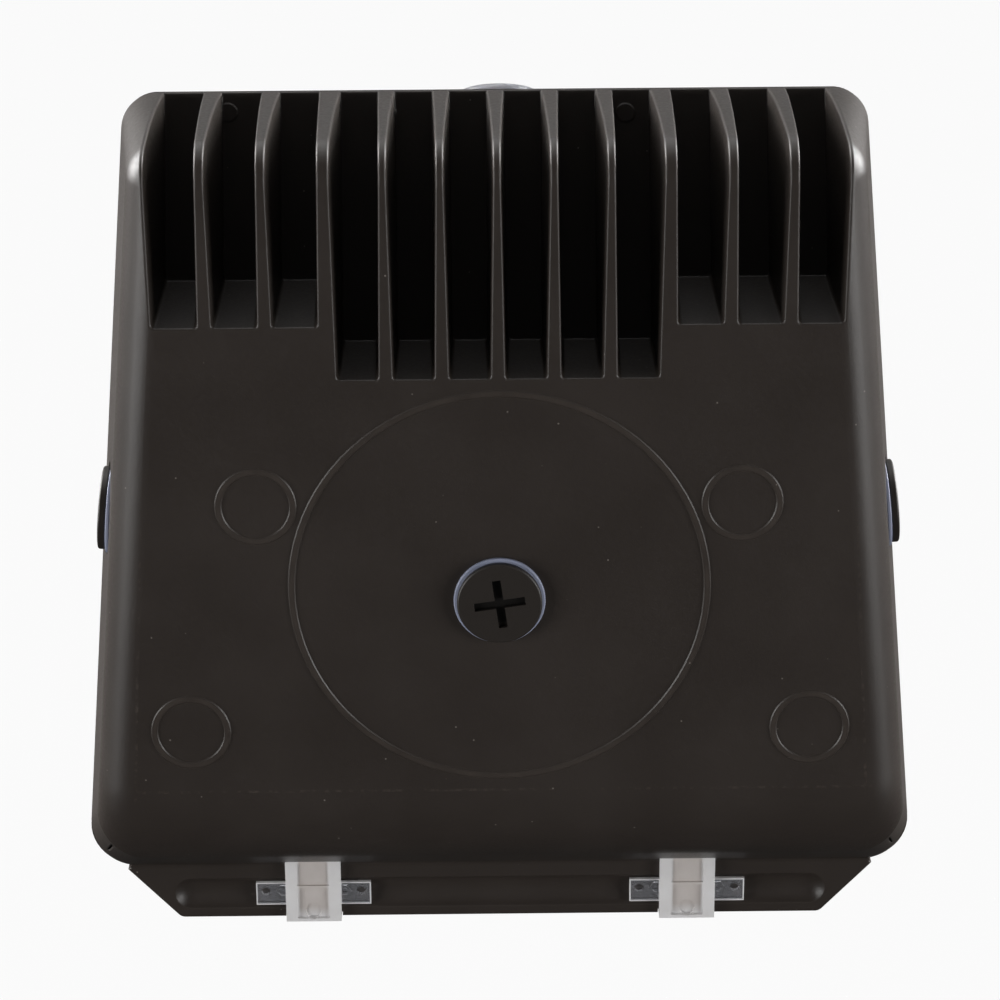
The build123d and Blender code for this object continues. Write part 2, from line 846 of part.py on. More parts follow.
def wing(x):
    """Thin plate in the channel, with a hole near each end and a raised pointed frame."""
    back = rim_depth - flange_thickness
    plane = Plane(
        origin=(x, -back - wing_sink, -channel_drop), x_dir=(-1, 0, 0), z_dir=(0, 1, 0)
    )
    plate = plane * Pos(0, 0, wing_thickness / 2) * Box(wing_length, wing_height, wing_thickness)
    frame_end = wing_length / 2 - 2 * wing_hole_inset
    frame_half = wing_frame_half
    shoulder = frame_end - frame_half * 0.6
    outer = polygon([
        (frame_end, 0), (shoulder, frame_half), (-shoulder, frame_half),
        (-frame_end, 0), (-shoulder, -frame_half), (shoulder, -frame_half),
    ])
    frame = outer - offset(outer, -wing_rib)
    frame_seat = plane * Pos(0, wing_hole_rise, wing_thickness)
    raised = extrude(frame_seat * frame, amount=wing_rib_height)
    piece = plate + raised
    for side in (-1, 1):
        hole_x = side * (wing_length / 2 - wing_hole_inset)
        hole = plane * Pos(hole_x, wing_hole_rise)
        piece -= peg(hole, wing_hole_radius, -1, wing_thickness + 1)
    return piece


def hinge_clip(x):
    side_view = extrude(sideways(x) * clip_side_view(), amount=clip_width / 2, both=True)
    outer = rim_depth - flange_thickness - clip_thickness
    half = clip_panel_width / 2
    clip = side_view + wing(x)
    for low, high, sink in (
        (-clip_step_drop, -clip_top - 1.0, clip_panel_recess),
        (-flange_foot + 1.0, -clip_step_drop - 0.8, clip_panel_recess + 0.4),
    ):
        clip -= block((x - half, x + half), (outer - 1, outer + sink), (low, high))
    dimple = facing(outer - 1) * Pos(x, -flange_foot + 3.2)
    clip -= peg(dimple, clip_dimple_radius, 0, 2.0 + clip_panel_recess)
    return clip - rod_x(pin_depth, pin_z, pin_radius + pin_running_gap, x - clip_width, x + clip_width)


# ---------------------------------------------------------------- door
def front_tilt():
    """Lean of the face in degrees, from the brow back to the chin."""
    return degrees(atan2(brow_depth - chin_depth, brow_z() + face_foot))


def front_depth(z, behind=0.0):
    """Depth of the door's face at a height, or of a face parallel to it behind."""
    a = radians(front_tilt())
    return brow_depth + (z - brow_z()) * tan(a) - behind / cos(a)


def roof_z(depth, below=0.0):
    a = radians(roof_angle)
    return top_height - (depth - door_back) * tan(a) - below / cos(a)


def brow_z():
    return top_height - (brow_depth - door_back) * tan(radians(roof_angle))


def door_profile(inset, start, foot, brow, chin):
    """Side view of the hood and face from a start depth, inset from both by a wall."""
    tilt, fall = radians(front_tilt()), radians(roof_angle)
    reach = inset / cos(tilt)
    drop = inset / cos(fall)
    # height where the inset roof meets the inset face
    corner_z = brow_z() - (drop - reach * tan(fall)) / (1 + tan(fall) * tan(tilt))
    back = door_back if inset == 0 else start
    points = [(back, roof_z(back, inset)), (front_depth(corner_z, inset), corner_z),
              (front_depth(foot, inset), foot), (start, foot)]
    if start < back:
        points.append((start, top_height))
    face = polygon(points)
    face = fillet(face.vertices().sort_by(Axis.X)[-1], brow)
    if chin:
        face = fillet(face.vertices().filter_by(
            lambda v: abs(v.Y - foot) < 0.01 and v.X > door_back + chin), chin)
    return face


def door_shell():
    """Outside of the door: hood and face, rounded down both sides."""
    start = door_back - beyond
    profile = door_profile(0, start, -face_foot, brow_radius, chin_radius)
    shell = tapered(profile, 0, half_width(0), -slope, -tan(radians(door_draft)), door_back)
    shell = fillet(side_edges(shell, start), side_edge_radius)
    return shell & extrude(facing(door_back) * rim_outline(), amount=half_span)


def door_flange_strip():
    """Lower strip of the door, ending in a bead that is round about the hinge pins."""
    plate = across(polygon([
        (door_back, -cavity_foot), (door_back + door_flange, -cavity_foot),
        (door_back + door_flange, pin_z), (door_back, pin_z),
    ]))
    bead = rod_x(pin_depth, pin_z, bead_radius, -half_span, half_span)
    outline = flange_outline()
    limit = extrude(facing(door_back - 1) * outline, amount=bead_radius * 2 + 2)
    return (plate + bead) & limit


def seal_ring(play):
    """Loop of the rim seal's groove, or of the seal itself with some play."""
    def loop(inset):
        drop = seal_drop - (inset - seal_inset)
        return body_outline(inset, top_height - inset - 1, -drop, seal_corner_radius,
                            seal_corner_radius)
    return loop(seal_inset + play) - loop(seal_inset + seal_width - play)


def door_frame():
    shell = door_shell() + door_flange_strip()
    inner = door_profile(door_wall, door_back - 1, -cavity_foot, brow_radius / 2, 0)
    cavity = tapered(
        inner, 0, half_width(0, door_side_wall), -slope, -tan(radians(door_draft)), door_back
    )
    shell -= cavity & block((-half_span, half_span), (0, half_span), (-half_span, cavity_top))
    shell -= window_cutter()
    groove = extrude(facing(door_back) * seal_ring(0), amount=seal_depth)
    shell -= groove
    for side in (-1, 1):
        half = clip_width / 2 + 2 * clip_play
        notch_top = pin_z + bead_radius + 2
        x = (side * clip_x - half, side * clip_x + half)
        shell -= block(x, (door_back - 1, pin_depth + 3 * bead_radius), (-flange_foot - 1, notch_top))
        reach = pin_length / 2 + touch
        shell -= rod_x(pin_depth, pin_z, pin_radius + touch, side * clip_x - reach,
                       side * clip_x + reach)
    shell += lens_bosses()
    shell += door_screw_tubes()
    shell -= lens_screw_holes()
    shell -= door_screw_bores()
    neck = peg(photocell_plane(), photocell_neck_radius + 0.1, -photocell_neck_length, 2)
    return shell - neck


def window_cutter():
    outline = body_outline(
        window_inset, window_top, -window_foot, window_corner_radius, window_corner_radius
    )
    strip = across(face_strip(-beyond, beyond, half_span))
    return extrude(facing(door_back) * outline, amount=brow_depth) & strip


def face_strip(near, far, reach=half_span):
    """Side view of a slab parallel to the door's face: near and far are measured behind it."""
    low, high = -reach, reach
    return polygon([
        (front_depth(low, near), low), (front_depth(high, near), high),
        (front_depth(high, far), high), (front_depth(low, far), low),
    ])


def face_layer(outline, near, far):
    """Layer of an outline between two depths behind the door's face."""
    column = extrude(facing(0) * outline, amount=2 * brow_depth)
    return column & across(face_strip(near, far))


def lens_outline(grow):
    """Outline of the window, grown by a margin on all sides."""
    radius = max(window_corner_radius + grow, 2.0)
    return body_outline(
        window_inset - grow, window_top + grow, -window_foot - grow, radius, radius
    )


def lens_back():
    """How far behind the door's face the lens flange ends."""
    return door_wall + lens_seal_thickness + lens_flange


def lens():
    flange = face_layer(lens_outline(lens_overlap), lens_back() - lens_flange, lens_back())
    bulge = face_layer(lens_outline(-lens_window_play), door_wall - lens_bulge, lens_back())
    front = [
        e for e in bulge.edges()
        if abs(-(e @ 0.5).Y - front_depth((e @ 0.5).Z, door_wall - lens_bulge)) < 0.05
    ]
    bulge = fillet(front, lens_edge_radius)
    hollow = face_layer(
        lens_outline(-lens_window_play - lens_flange), door_wall - lens_bulge + lens_flange,
        lens_back() + 1,
    )
    return flange + bulge - hollow


def lens_seal():
    ring = lens_outline(lens_overlap) - lens_outline(lens_overlap - lens_seal_width)
    return face_layer(ring, door_wall, door_wall + lens_seal_thickness)


def lens_boss_planes():
    """Planes on the door's face line above each lens screw, normal to the front."""
    planes = []
    for side in (-1, 1):
        for z in lens_boss_rows:
            x = side * half_width(z, lens_boss_inset)
            planes.append((side, tilted(front_depth(z), z, front_tilt(), x)))
    return planes


def lens_bosses():
    return Compound(children=[
        peg(plane, lens_boss_radius, -lens_back(), -door_wall + 1)
        for _, plane in lens_boss_planes()
    ])


def lens_screw_holes():
    return Compound(children=[
        peg(plane, small_screw_radius, -lens_back() - 1, -lens_back() + small_screw_length)
        for _, plane in lens_boss_planes()
    ])


def lens_clips():
    """Flat steel clips, each screwed to a boss and lying on the lens flange."""
    clips = []
    for side, plane in lens_boss_planes():
        low = -lens_back() - lens_clip_thickness
        middle = low + lens_clip_thickness / 2
        shift = -side * (lens_clip_length / 2 - lens_boss_radius)
        plate = Box(lens_clip_length, lens_clip_width, lens_clip_thickness)
        clip = plane * Pos(shift, 0, middle) * plate
        clips.append(clip - peg(plane, small_screw_radius + 0.1, low - 1, low + 3))
    return clips


def pan_screw(plane, length=small_screw_length):
    """Small pan head screw whose head bears on the plane; the plane's normal is the head's way."""
    head = peg(plane, small_head_radius, 0, small_head_height)
    rim = head.edges().filter_by(GeomType.CIRCLE).sort_by(
        lambda e: (e.arc_center - plane.origin).length)[-1]
    head = fillet(rim, small_head_height * 0.45)
    slot = plane * Pos(0, 0, small_head_height) * Box(3.0, 0.7, 1.2)
    slot += plane * Pos(0, 0, small_head_height) * Box(0.7, 3.0, 1.2)
    return head + peg(plane, small_screw_radius, -length, 0) - slot


def lens_clip_screws():
    screws = []
    for _, plane in lens_boss_planes():
        level = lens_back() + lens_clip_thickness
        seat = moved(plane, z=-level)
        flipped = Plane(origin=seat.origin, x_dir=seat.x_dir, z_dir=-seat.z_dir)
        screws.append(pan_screw(flipped))
    return screws


# ---------------------------------------------------------------- door screws
def door_screw_planes():
    planes = []
    for side in (-1, 1):
        depth = front_depth(door_screw_z)
        planes.append(facing(depth) * Pos(side * door_screw_x, door_screw_z))
    return planes


def door_screw_tubes():
    tubes = []
    for side in (-1, 1):
        plane = facing(door_back) * Pos(side * door_screw_x, door_screw_z)
        tubes.append(peg(plane, door_boss_radius, 0, front_depth(door_screw_z, 1) - door_back))
    return Compound(children=tubes)


def door_screw_bores():
    cuts = []
    for side in (-1, 1):
        plane = facing(front_depth(door_screw_z)) * Pos(side * door_screw_x, door_screw_z)
        cuts.append(peg(plane, door_screw_radius + 0.2, -rim_depth, 1))
        cuts.append(peg(plane, door_screw_head_radius + 0.3, -door_screw_well, 4))
    return Compound(children=cuts)


def door_screw(side):
    """Long captive screw from the door's face to its boss in the housing."""
    seat = front_depth(door_screw_z) - door_screw_well
    plane = facing(seat) * Pos(side * door_screw_x, door_screw_z)
    head = peg(plane, door_screw_head_radius, 0, door_screw_head_height)
    rim = head.edges().filter_by(GeomType.CIRCLE).sort_by(Axis.Y)[0]
    head = fillet(rim, 1.0)
    shank = peg(plane, door_screw_radius, -(seat - rim_depth) - door_screw_bite, 0)
    arm = Box(4.6, 1.0, 2.4)
    recess = plane * Pos(0, 0, door_screw_head_height) * (arm + Rot(0, 0, 90) * arm)
    return head + shank - recess


# ---------------------------------------------------------------- photocell
def photocell_plane():
    """On the roof, normal out of it."""
    a = radians(roof_angle)
    depth = door_back + photocell_share * (brow_depth - door_back)
    return Plane(
        origin=(photocell_x, -depth, roof_z(depth)), x_dir=(1, 0, 0), z_dir=(0, -sin(a), cos(a))
    )


def photocell_body():
    plane = photocell_plane()
    seat = photocell_seal_thickness
    base = peg(plane, photocell_base_radius, seat, seat + photocell_base_height)
    rim = base.edges().filter_by(GeomType.CIRCLE)
    base = fillet(rim, 0.5)
    return base + peg(plane, photocell_neck_radius, -photocell_neck_length, seat + 0.1)


def photocell_seal():
    plane = photocell_plane()
    ring = peg(plane, photocell_base_radius - 0.8, 0, photocell_seal_thickness)
    return ring - peg(plane, photocell_neck_radius + 0.05, -1, 2)


def photocell_cap():
    """Translucent cap: a short round cup, open below, with a rounded crown."""
    plane = photocell_plane()
    low = photocell_seal_thickness + photocell_base_height
    high = low + photocell_cap_height
    outer = peg(plane, photocell_cap_radius, low, high)
    crown = outer.edges().filter_by(GeomType.CIRCLE).sort_by(
        lambda e: (e.arc_center - plane.origin).length)[-1]
    outer = fillet(crown, photocell_cap_edge)
    inner = peg(plane, photocell_cap_radius - photocell_cap_wall, low - 1,
                high - photocell_cap_wall)
    return outer - inner


def photocell_sensor():
    plane = photocell_plane()
    low = photocell_seal_thickness + photocell_base_height
    return peg(plane, sensor_radius, low, low + sensor_height)


def photocell_nut():
    plane = photocell_plane()
    wall_low = -door_wall
    ring = RegularPolygon(photocell_nut_flats / 2, 6, major_radius=False)
    nut = extrude(plane * Pos(0, 0, wall_low - photocell_nut_height) * ring,
                  amount=photocell_nut_height)
    return nut - peg(plane, photocell_neck_radius + 0.05, wall_low - 2 * photocell_nut_height, 0)


# ---------------------------------------------------------------- lamp board
def led_places():
    """(x, y) of each lamp on the board's face."""
    places = []
    for row in range(led_rows):
        for column in range(led_columns):
            x = (column - (led_columns - 1) / 2) * led_pitch_x
            y = (row - (led_rows - 1) / 2) * led_pitch_y
            places.append((x, y))
    return places


def led_board():
    plane = led_plane()
    board = plane * Pos(0, 0, board_thickness / 2) * Box(board_length, board_height, board_thickness)
    for x, y in board_screw_places():
        board -= peg(plane * Pos(x, y), small_screw_radius + 0.1, -1, board_thickness + 1)
    return board


def led_chips():
    plane = led_plane()
    middle = board_thickness + led_height / 2
    return [plane * Pos(x, y, middle) * Box(led_size, led_size, led_height) for x, y in led_places()]


def led_optic():
    """Clear moulded plate with a dome over each lamp."""
    plane = led_plane()
    length = led_columns * led_pitch_x + optic_margin - led_pitch_x + 2 * optic_dome_radius
    height = (led_rows - 1) * led_pitch_y + 2 * optic_dome_radius + optic_margin
    middle = board_thickness + optic_base / 2
    optic = plane * Pos(0, 0, middle) * Box(length, height, optic_base)
    ball = (optic_dome_radius ** 2 + optic_dome_height ** 2) / (2 * optic_dome_height)
    top = board_thickness + optic_base
    for x, y in led_places():
        dome = Pos(0, 0, optic_dome_height - ball) * Sphere(ball)
        dome = dome & Pos(0, 0, ball) * Box(4 * ball, 4 * ball, 2 * ball)
        optic += plane * Pos(x, y, top) * dome
        pocket = Box(optic_pocket_size, optic_pocket_size, 2 * optic_pocket)
        optic -= plane * Pos(x, y, board_thickness) * pocket
    return optic


def board_screws():
    plane = led_plane()
    level = board_thickness
    return [pan_screw(moved(plane, x, y, level), board_screw_length)
            for x, y in board_screw_places()]


# ---------------------------------------------------------------- driver
def driver_box(inset, depth_low, depth_high):
    half_x = driver_length / 2 - inset
    half_z = driver_height / 2 - inset
    return block((-half_x, half_x), (depth_low, depth_high),
                 (driver_centre_z - half_z, driver_centre_z + half_z))


def driver_base():
    """Flat steel base with an ear at each end."""
    low, high = driver_back_depth, driver_back_depth + driver_sheet
    half = driver_length / 2 + driver_ear
    base = block((-half, half), (low, high),
                 (driver_centre_z - driver_height / 2, driver_centre_z + driver_height / 2))
    for x, z in driver_ear_places():
        base -= peg(facing(low) * Pos(x, z), small_screw_radius + 0.1, -1, driver_sheet + 1)
    return base


def driver_cover():
    """Five-sided cover over the driver's board, with a lead hole in one end."""
    low = driver_back_depth + driver_sheet
    high = low + driver_thickness
    cover = driver_box(0, low, high) - driver_box(driver_sheet, low - 1, high - driver_sheet)
    for x in (-1, 1):
        end = Plane(origin=(x * driver_length / 2, -(low + high) / 2, driver_centre_z),
                    x_dir=(0, -1, 0), z_dir=(x, 0, 0))
        cover -= peg(end, driver_lead_hole_radius, -2 * driver_sheet, 1)
    return cover


def driver_board():
    low = driver_back_depth + driver_sheet + driver_board_stand
    return driver_box(driver_sheet + 1.0, low, low + board_thickness)


def driver_standoffs():
    """Four spacers under the driver's board."""
    spacers = []
    low = driver_back_depth + driver_sheet
    for sx in (-1, 1):
        for sz in (-1, 1):
            x = sx * (driver_length / 2 - driver_spacer_inset)
            z = driver_centre_z + sz * (driver_height / 2 - driver_spacer_inset)
            place = facing(low) * Pos(x, z)
            spacers.append(peg(place, driver_spacer_radius, 0, driver_board_stand))
    return spacers


def driver_components():
    """Transformer, choke and capacitors standing on the driver's board."""
    level = driver_back_depth + driver_sheet + driver_board_stand + board_thickness
    z = driver_centre_z
    parts = []
    for x_range, half_height, stand in (transformer, choke):
        parts.append(block(x_range, (level, level + stand), (z - half_height, z + half_height)))
    for x, rise, radius, stand in capacitors:
        parts.append(peg(facing(level) * Pos(x, z + rise), radius, 0, stand))
    return parts


def driver_screws():
    level = driver_back_depth + driver_sheet
    return [pan_screw(moved(facing(level), x, z)) for x, z in driver_ear_places()]


# ---------------------------------------------------------------- terminals
def terminal_level():
    return back_depth + back_wall + terminal_stand


def terminal_block():
    """Three-way block with a wire way and a screw well at each pole."""
    low = terminal_level()
    x = (terminal_x - terminal_length / 2, terminal_x + terminal_length / 2)
    z = (terminal_z - terminal_height / 2, terminal_z + terminal_height / 2)
    body = block(x, (low, low + terminal_depth), z)
    for pole_x in terminal_pole_places():
        way = Cylinder(terminal_way_radius, terminal_height + 2)
        body -= Pos(pole_x, -low - terminal_depth / 2, terminal_z) * way
        well = facing(low + terminal_depth) * Pos(pole_x, terminal_z)
        body -= peg(well, terminal_well_radius, -terminal_depth / 2, 1)
    for boss_x, boss_z in terminal_boss_places():
        body -= peg(facing(low) * Pos(boss_x, boss_z), small_screw_radius + 0.1, -1,
                    terminal_depth + 1)
    return body


def terminal_pole_places():
    pitch = (terminal_length - 4 * terminal_boss_inset()) / terminal_poles
    return [terminal_x + (i - (terminal_poles - 1) / 2) * pitch for i in range(terminal_poles)]


def terminal_screws():
    """Clamping screws, one in each well."""
    low = terminal_level() + terminal_depth / 2
    return [peg(facing(low) * Pos(x, terminal_z), terminal_well_radius - 0.1, 0,
                terminal_screw_height) for x in terminal_pole_places()]


def terminal_fixings():
    top = terminal_level() + terminal_depth
    return [pan_screw(moved(facing(top), x, z), terminal_depth + terminal_stand - 1)
            for x, z in terminal_boss_places()]


def ground_screw():
    return pan_screw(ground_seat())


# ---------------------------------------------------------------- reflector tray
def reflector_tray():
    """Painted sheet that leans over the wiring space."""
    lean = atan2(tray_foot_depth - tray_top_depth, tray_top_z - tray_foot_z)
    thick = tray_thickness / cos(lean)
    profile = polygon([
        (tray_top_depth, tray_top_z), (tray_foot_depth, tray_foot_z),
        (tray_foot_depth + thick, tray_foot_z), (tray_top_depth + thick, tray_top_z),
    ])
    outline = body_outline(
        wall + tray_side_play, tray_top_z, tray_foot_z, tray_corner_radius
    )
    sheet = extrude(facing(0) * outline, amount=rim_depth) & across(profile)
    for side in (-1, 1):
        for z in tray_boss_rows:
            sheet -= peg(tray_plane(side * tray_boss_x, z), small_screw_radius + 0.1, -3, 5)
    return sheet


def tray_screws():
    return [pan_screw(moved(tray_plane(side * tray_boss_x, z), z=tray_thickness + touch))
            for side in (-1, 1) for z in tray_boss_rows]


# ---------------------------------------------------------------- export
def write(name, shape):
    """One file for each named piece; a list becomes a group of separate solids."""
    if isinstance(shape, list):
        solids = [s for item in shape for s in item.solids()]
        shape = Compound(children=solids)
    export_step(shape, os.path.join("parts", name + ".step"))


def main():
    os.makedirs("parts", exist_ok=True)
    places = entry_places()
    turns = {"rear": cross_turn, "left": 30.0, "right": -20.0}
    for name, place in places.items():
        write(name + "_entry_plug", entry_plug(place, turns[name]))
        write(name + "_entry_washer", entry_washer(place))
    write("back_housing", back_housing())
    write("hinge_clip_left", hinge_clip(-clip_x))
    write("hinge_clip_right", hinge_clip(clip_x))
    write("led_board", led_board())
    write("led_chips", led_chips())
    write("led_optic", led_optic())
    write("led_board_screws", board_screws())
    write("driver_base", driver_base())
    write("driver_cover", driver_cover())
    write("driver_board", driver_board())
    write("driver_standoffs", driver_standoffs())
    write("driver_components", driver_components())
    write("driver_screws", driver_screws())
    write("terminal_block", terminal_block())
    write("terminal_screws", terminal_screws())
    write("terminal_fixings", terminal_fixings())
    write("ground_screw", ground_screw())
    write("reflector_tray", reflector_tray())
    write("tray_screws", tray_screws())
    write("door_frame", door_frame())
    write("rim_seal", extrude(facing(door_back - seal_stand) * seal_ring(touch),
                              amount=seal_depth + seal_stand))
    write("lens", lens())
    write("lens_seal", lens_seal())
    write("lens_clips", lens_clips())
    write("lens_clip_screws", lens_clip_screws())
    write("door_screw_left", door_screw(-1))
    write("door_screw_right", door_screw(1))
    write("photocell_body", photocell_body())
    write("photocell_seal", photocell_seal())
    write("photocell_cap", photocell_cap())
    write("photocell_sensor", photocell_sensor())
    write("photocell_nut", photocell_nut())
    half_pin = pin_length / 2
    for name, x in (("left", -clip_x), ("right", clip_x)):
        write("hinge_pin_" + name, rod_x(pin_depth, pin_z, pin_radius, x - half_pin, x + half_pin))


main()
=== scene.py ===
from math import radians

import bpy
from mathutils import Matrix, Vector

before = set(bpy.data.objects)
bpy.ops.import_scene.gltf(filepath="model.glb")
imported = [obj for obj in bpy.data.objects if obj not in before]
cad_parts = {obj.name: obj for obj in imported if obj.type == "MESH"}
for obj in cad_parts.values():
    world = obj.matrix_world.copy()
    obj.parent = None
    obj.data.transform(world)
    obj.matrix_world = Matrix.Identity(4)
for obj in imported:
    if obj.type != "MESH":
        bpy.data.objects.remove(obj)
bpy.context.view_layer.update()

# ---- Camera
# It stands behind the light, a little above it, and looks at the side that goes to the wall.
camera_place = (0.005676, 0.865821, 0.377929)   # metres
camera_turn = (67.889, 0.336, 179.470)          # degrees about X, Y and Z
camera_focal_mm = 125.13
sensor_width_mm = 36.0
camera_clip_start = 0.01                        # metres

camera_data = bpy.data.cameras.new("camera")
camera_data.lens = camera_focal_mm
camera_data.sensor_width = sensor_width_mm
camera_data.clip_start = camera_clip_start
camera = bpy.data.objects.new("camera", camera_data)
camera.location = camera_place
camera.rotation_euler = [radians(angle) for angle in camera_turn]
bpy.context.collection.objects.link(camera)
bpy.context.scene.camera = camera


# ---- Cast housing and door frame
# Two aluminium die castings with a baked polyester powder coat in dark bronze. The coat
# is satin with a fine orange peel. It is rubbed on the rings that touch the wall and along
# the bends, lighter on its sharp edges from wear and a painted edge highlight, and carries a few
# specks of dust.
coat_dark = "#322c28"
coat_light = "#37312d"
coat_rubbed_and_sheen = "#4a423c"
dust_colour = "#8d867f"
coat_grain_mm = 0.9          # a real grain is about 0.3 mm, drawn coarser so that it shows
coat_patch_mm = 35.0
coat_roughness = 0.40
coat_peel_mm = 0.05          # height of the orange peel
edge_rounding_mm = 0.7
edge_agreement = (0.80, 0.995)           # cosine between rounded and true normal: lightest edge (wear and painted highlight), flat
dust_cell_mm = 7.0
dust_radius_mm = 0.28
back_band_mm = (-0.6, -0.3)  # the flat back and its rings: wear sets in between these
scuff_mm = 6.0
ring_half_band_mm = 0.7
ring_wear = (0.15, 0.55)     # least and greatest share of rubbed coat on a ring
ring_heel_mm = (-1.0, -0.7)  # nearer to the wall than this, edges are cast soft
ring_heel_rounding = 0.25
rings_mm = ((0.0, 0.0, 56.5),                        # x, z and middle radius of each ring
            (65.57, 24.66, 10.1), (-65.57, 24.66, 10.1),
            (85.43, -42.41, 10.1), (-85.43, -42.41, 10.1))
back_edge_mm = (98.0, 0.06, -61.0)       # half width at z = 0, narrowing per mm, foot
edge_line_half_mm = 0.4
edge_break_mm = 1.6
millimetre = 0.001


def linear(hex_colour):
    """A hex colour as linear RGBA: c / 12.92 up to 0.04045, else ((c + 0.055) / 1.055) ^ 2.4."""
    channels = [int(hex_colour[i:i + 2], 16) / 255 for i in (1, 3, 5)]
    return [c / 12.92 if c <= 0.04045 else ((c + 0.055) / 1.055) ** 2.4 for c in channels] + [1.0]


def wire(tree, node, inputs):
    """Fills a node's sockets: a socket is linked to, and anything else is set as a value."""
    for key, value in inputs.items():
        if isinstance(value, bpy.types.NodeSocket):
            tree.links.new(value, node.inputs[key])
        else:
            node.inputs[key].default_value = value


def add(tree, kind, inputs, out=0, **settings):
    """Adds one node with its settings and links, and gives one of its outputs."""
    node = tree.nodes.new(kind)
    for name, value in settings.items():
        setattr(node, name, value)
    wire(tree, node, inputs)
    return node.outputs[out]


def begin(name):
    """A new material: itself, its tree, its surface shader and Object coordinates in metres."""
    material = bpy.data.materials.new(name)
    material.use_nodes = True
    tree = material.node_tree
    place = add(tree, "ShaderNodeTexCoord", {}, "Object")
    return material, tree, tree.nodes["Principled BSDF"], place


def dress(material, *nodes):
    """Gives CAD nodes a material in all their slots."""
    for name in nodes:
        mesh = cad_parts[name].data
        mesh.materials.clear()
        mesh.materials.append(material)


def per_mm(size_mm):
    """Texture scale that makes a feature about this size."""
    return 1 / (size_mm * millimetre)


powder_coat, tree, shader, place = begin("powder_coated_die_cast_aluminium")
across = add(tree, "ShaderNodeSeparateXYZ", {0: place}, "X")
toward_wall = add(tree, "ShaderNodeSeparateXYZ", {0: place}, "Y")
height = add(tree, "ShaderNodeSeparateXYZ", {0: place}, "Z")
peel = add(tree, "ShaderNodeTexNoise",
           {"Vector": place, "Scale": per_mm(coat_grain_mm), "Detail": 3.0})
patches = add(tree, "ShaderNodeTexNoise", {"Vector": place, "Scale": per_mm(coat_patch_mm)})
share = add(tree, "ShaderNodeMapRange", {"Value": patches, "From Min": 0.35, "From Max": 0.65})
colour = add(tree, "ShaderNodeMix", {0: share, 6: linear(coat_dark), 7: linear(coat_light)}, 2,
             data_type="RGBA")

# the rings stand proud of the back and are rubbed where they meet the wall
on_back = add(tree, "ShaderNodeMapRange",
              {"Value": toward_wall, "From Min": back_band_mm[0] * millimetre,
               "From Max": back_band_mm[1] * millimetre})
scuffs = add(tree, "ShaderNodeTexNoise", {"Vector": place, "Scale": per_mm(scuff_mm)})
rubbed = 0.0
for x_mm, z_mm, radius_mm in rings_mm:
    centre = (x_mm * millimetre, 0.0, z_mm * millimetre)
    distance = add(tree, "ShaderNodeVectorMath", {0: place, 1: centre}, "Value",
                   operation="DISTANCE")
    inwards = add(tree, "ShaderNodeMath", {0: distance, 1: radius_mm * millimetre},
                  operation="SUBTRACT")
    off_band = add(tree, "ShaderNodeMath", {0: inwards}, operation="ABSOLUTE")
    band = add(tree, "ShaderNodeMapRange",
               {"Value": off_band, "From Min": 0.0, "From Max": 2 * ring_half_band_mm * millimetre,
                "To Min": 1.0, "To Max": 0.0}, interpolation_type="SMOOTHSTEP")
    rubbed = add(tree, "ShaderNodeMath", {0: rubbed, 1: band}, operation="MAXIMUM")
uneven = add(tree, "ShaderNodeMapRange",
             {"Value": scuffs, "From Min": 0.3, "From Max": 0.7,
              "To Min": ring_wear[0], "To Max": ring_wear[1]})
rubbed = add(tree, "ShaderNodeMath", {0: rubbed, 1: uneven}, operation="MULTIPLY")

# a broken line of wear runs round the flat back, where it turns into the sides and the belly
half_back, narrowing, back_foot = back_edge_mm
half_across = add(tree, "ShaderNodeMath", {0: across}, operation="ABSOLUTE")
side_line = add(tree, "ShaderNodeMath", {0: height, 1: narrowing, 2: half_across},
                operation="MULTIPLY_ADD")
line_half = edge_line_half_mm * millimetre
on_side_line = add(tree, "ShaderNodeMath", {0: side_line, 1: half_back * millimetre, 2: line_half},
                   operation="COMPARE")
on_foot_line = add(tree, "ShaderNodeMath", {0: height, 1: back_foot * millimetre, 2: line_half},
                   operation="COMPARE")
edge_line = add(tree, "ShaderNodeMath", {0: on_side_line, 1: on_foot_line}, operation="MAXIMUM")
breaks = add(tree, "ShaderNodeTexNoise",
             {"Vector": place, "Scale": per_mm(edge_break_mm), "Detail": 4.0})
broken = add(tree, "ShaderNodeMapRange", {"Value": breaks, "From Min": 0.50, "From Max": 0.66})
edge_wear = add(tree, "ShaderNodeMath", {0: edge_line, 1: broken}, operation="MULTIPLY")
marks = add(tree, "ShaderNodeMath", {0: rubbed, 1: edge_wear}, operation="MAXIMUM")
marks = add(tree, "ShaderNodeMath", {0: marks, 1: on_back}, operation="MULTIPLY")

# the coat rounds sharp edges and handling wears them; where the rounded normal leaves the true one
# the coat is drawn lighter, partly as wear and partly as a painted edge highlight
turned = add(tree, "ShaderNodeBevel", {"Radius": edge_rounding_mm * millimetre}, samples=6)
straight = add(tree, "ShaderNodeNewGeometry", {}, "Normal")
agree = add(tree, "ShaderNodeVectorMath", {0: turned, 1: straight}, "Value",
            operation="DOT_PRODUCT")
edge_wear_and_sheen = add(tree, "ShaderNodeMapRange",
              {"Value": agree, "From Min": edge_agreement[0], "From Max": edge_agreement[1],
               "To Min": 0.5, "To Max": 0.0})
wear_and_edge_sheen = add(tree, "ShaderNodeMath", {0: marks, 1: edge_wear_and_sheen}, operation="MAXIMUM")
colour = add(tree, "ShaderNodeMix", {0: wear_and_edge_sheen, 6: colour, 7: linear(coat_rubbed_and_sheen)}, 2,
             data_type="RGBA")

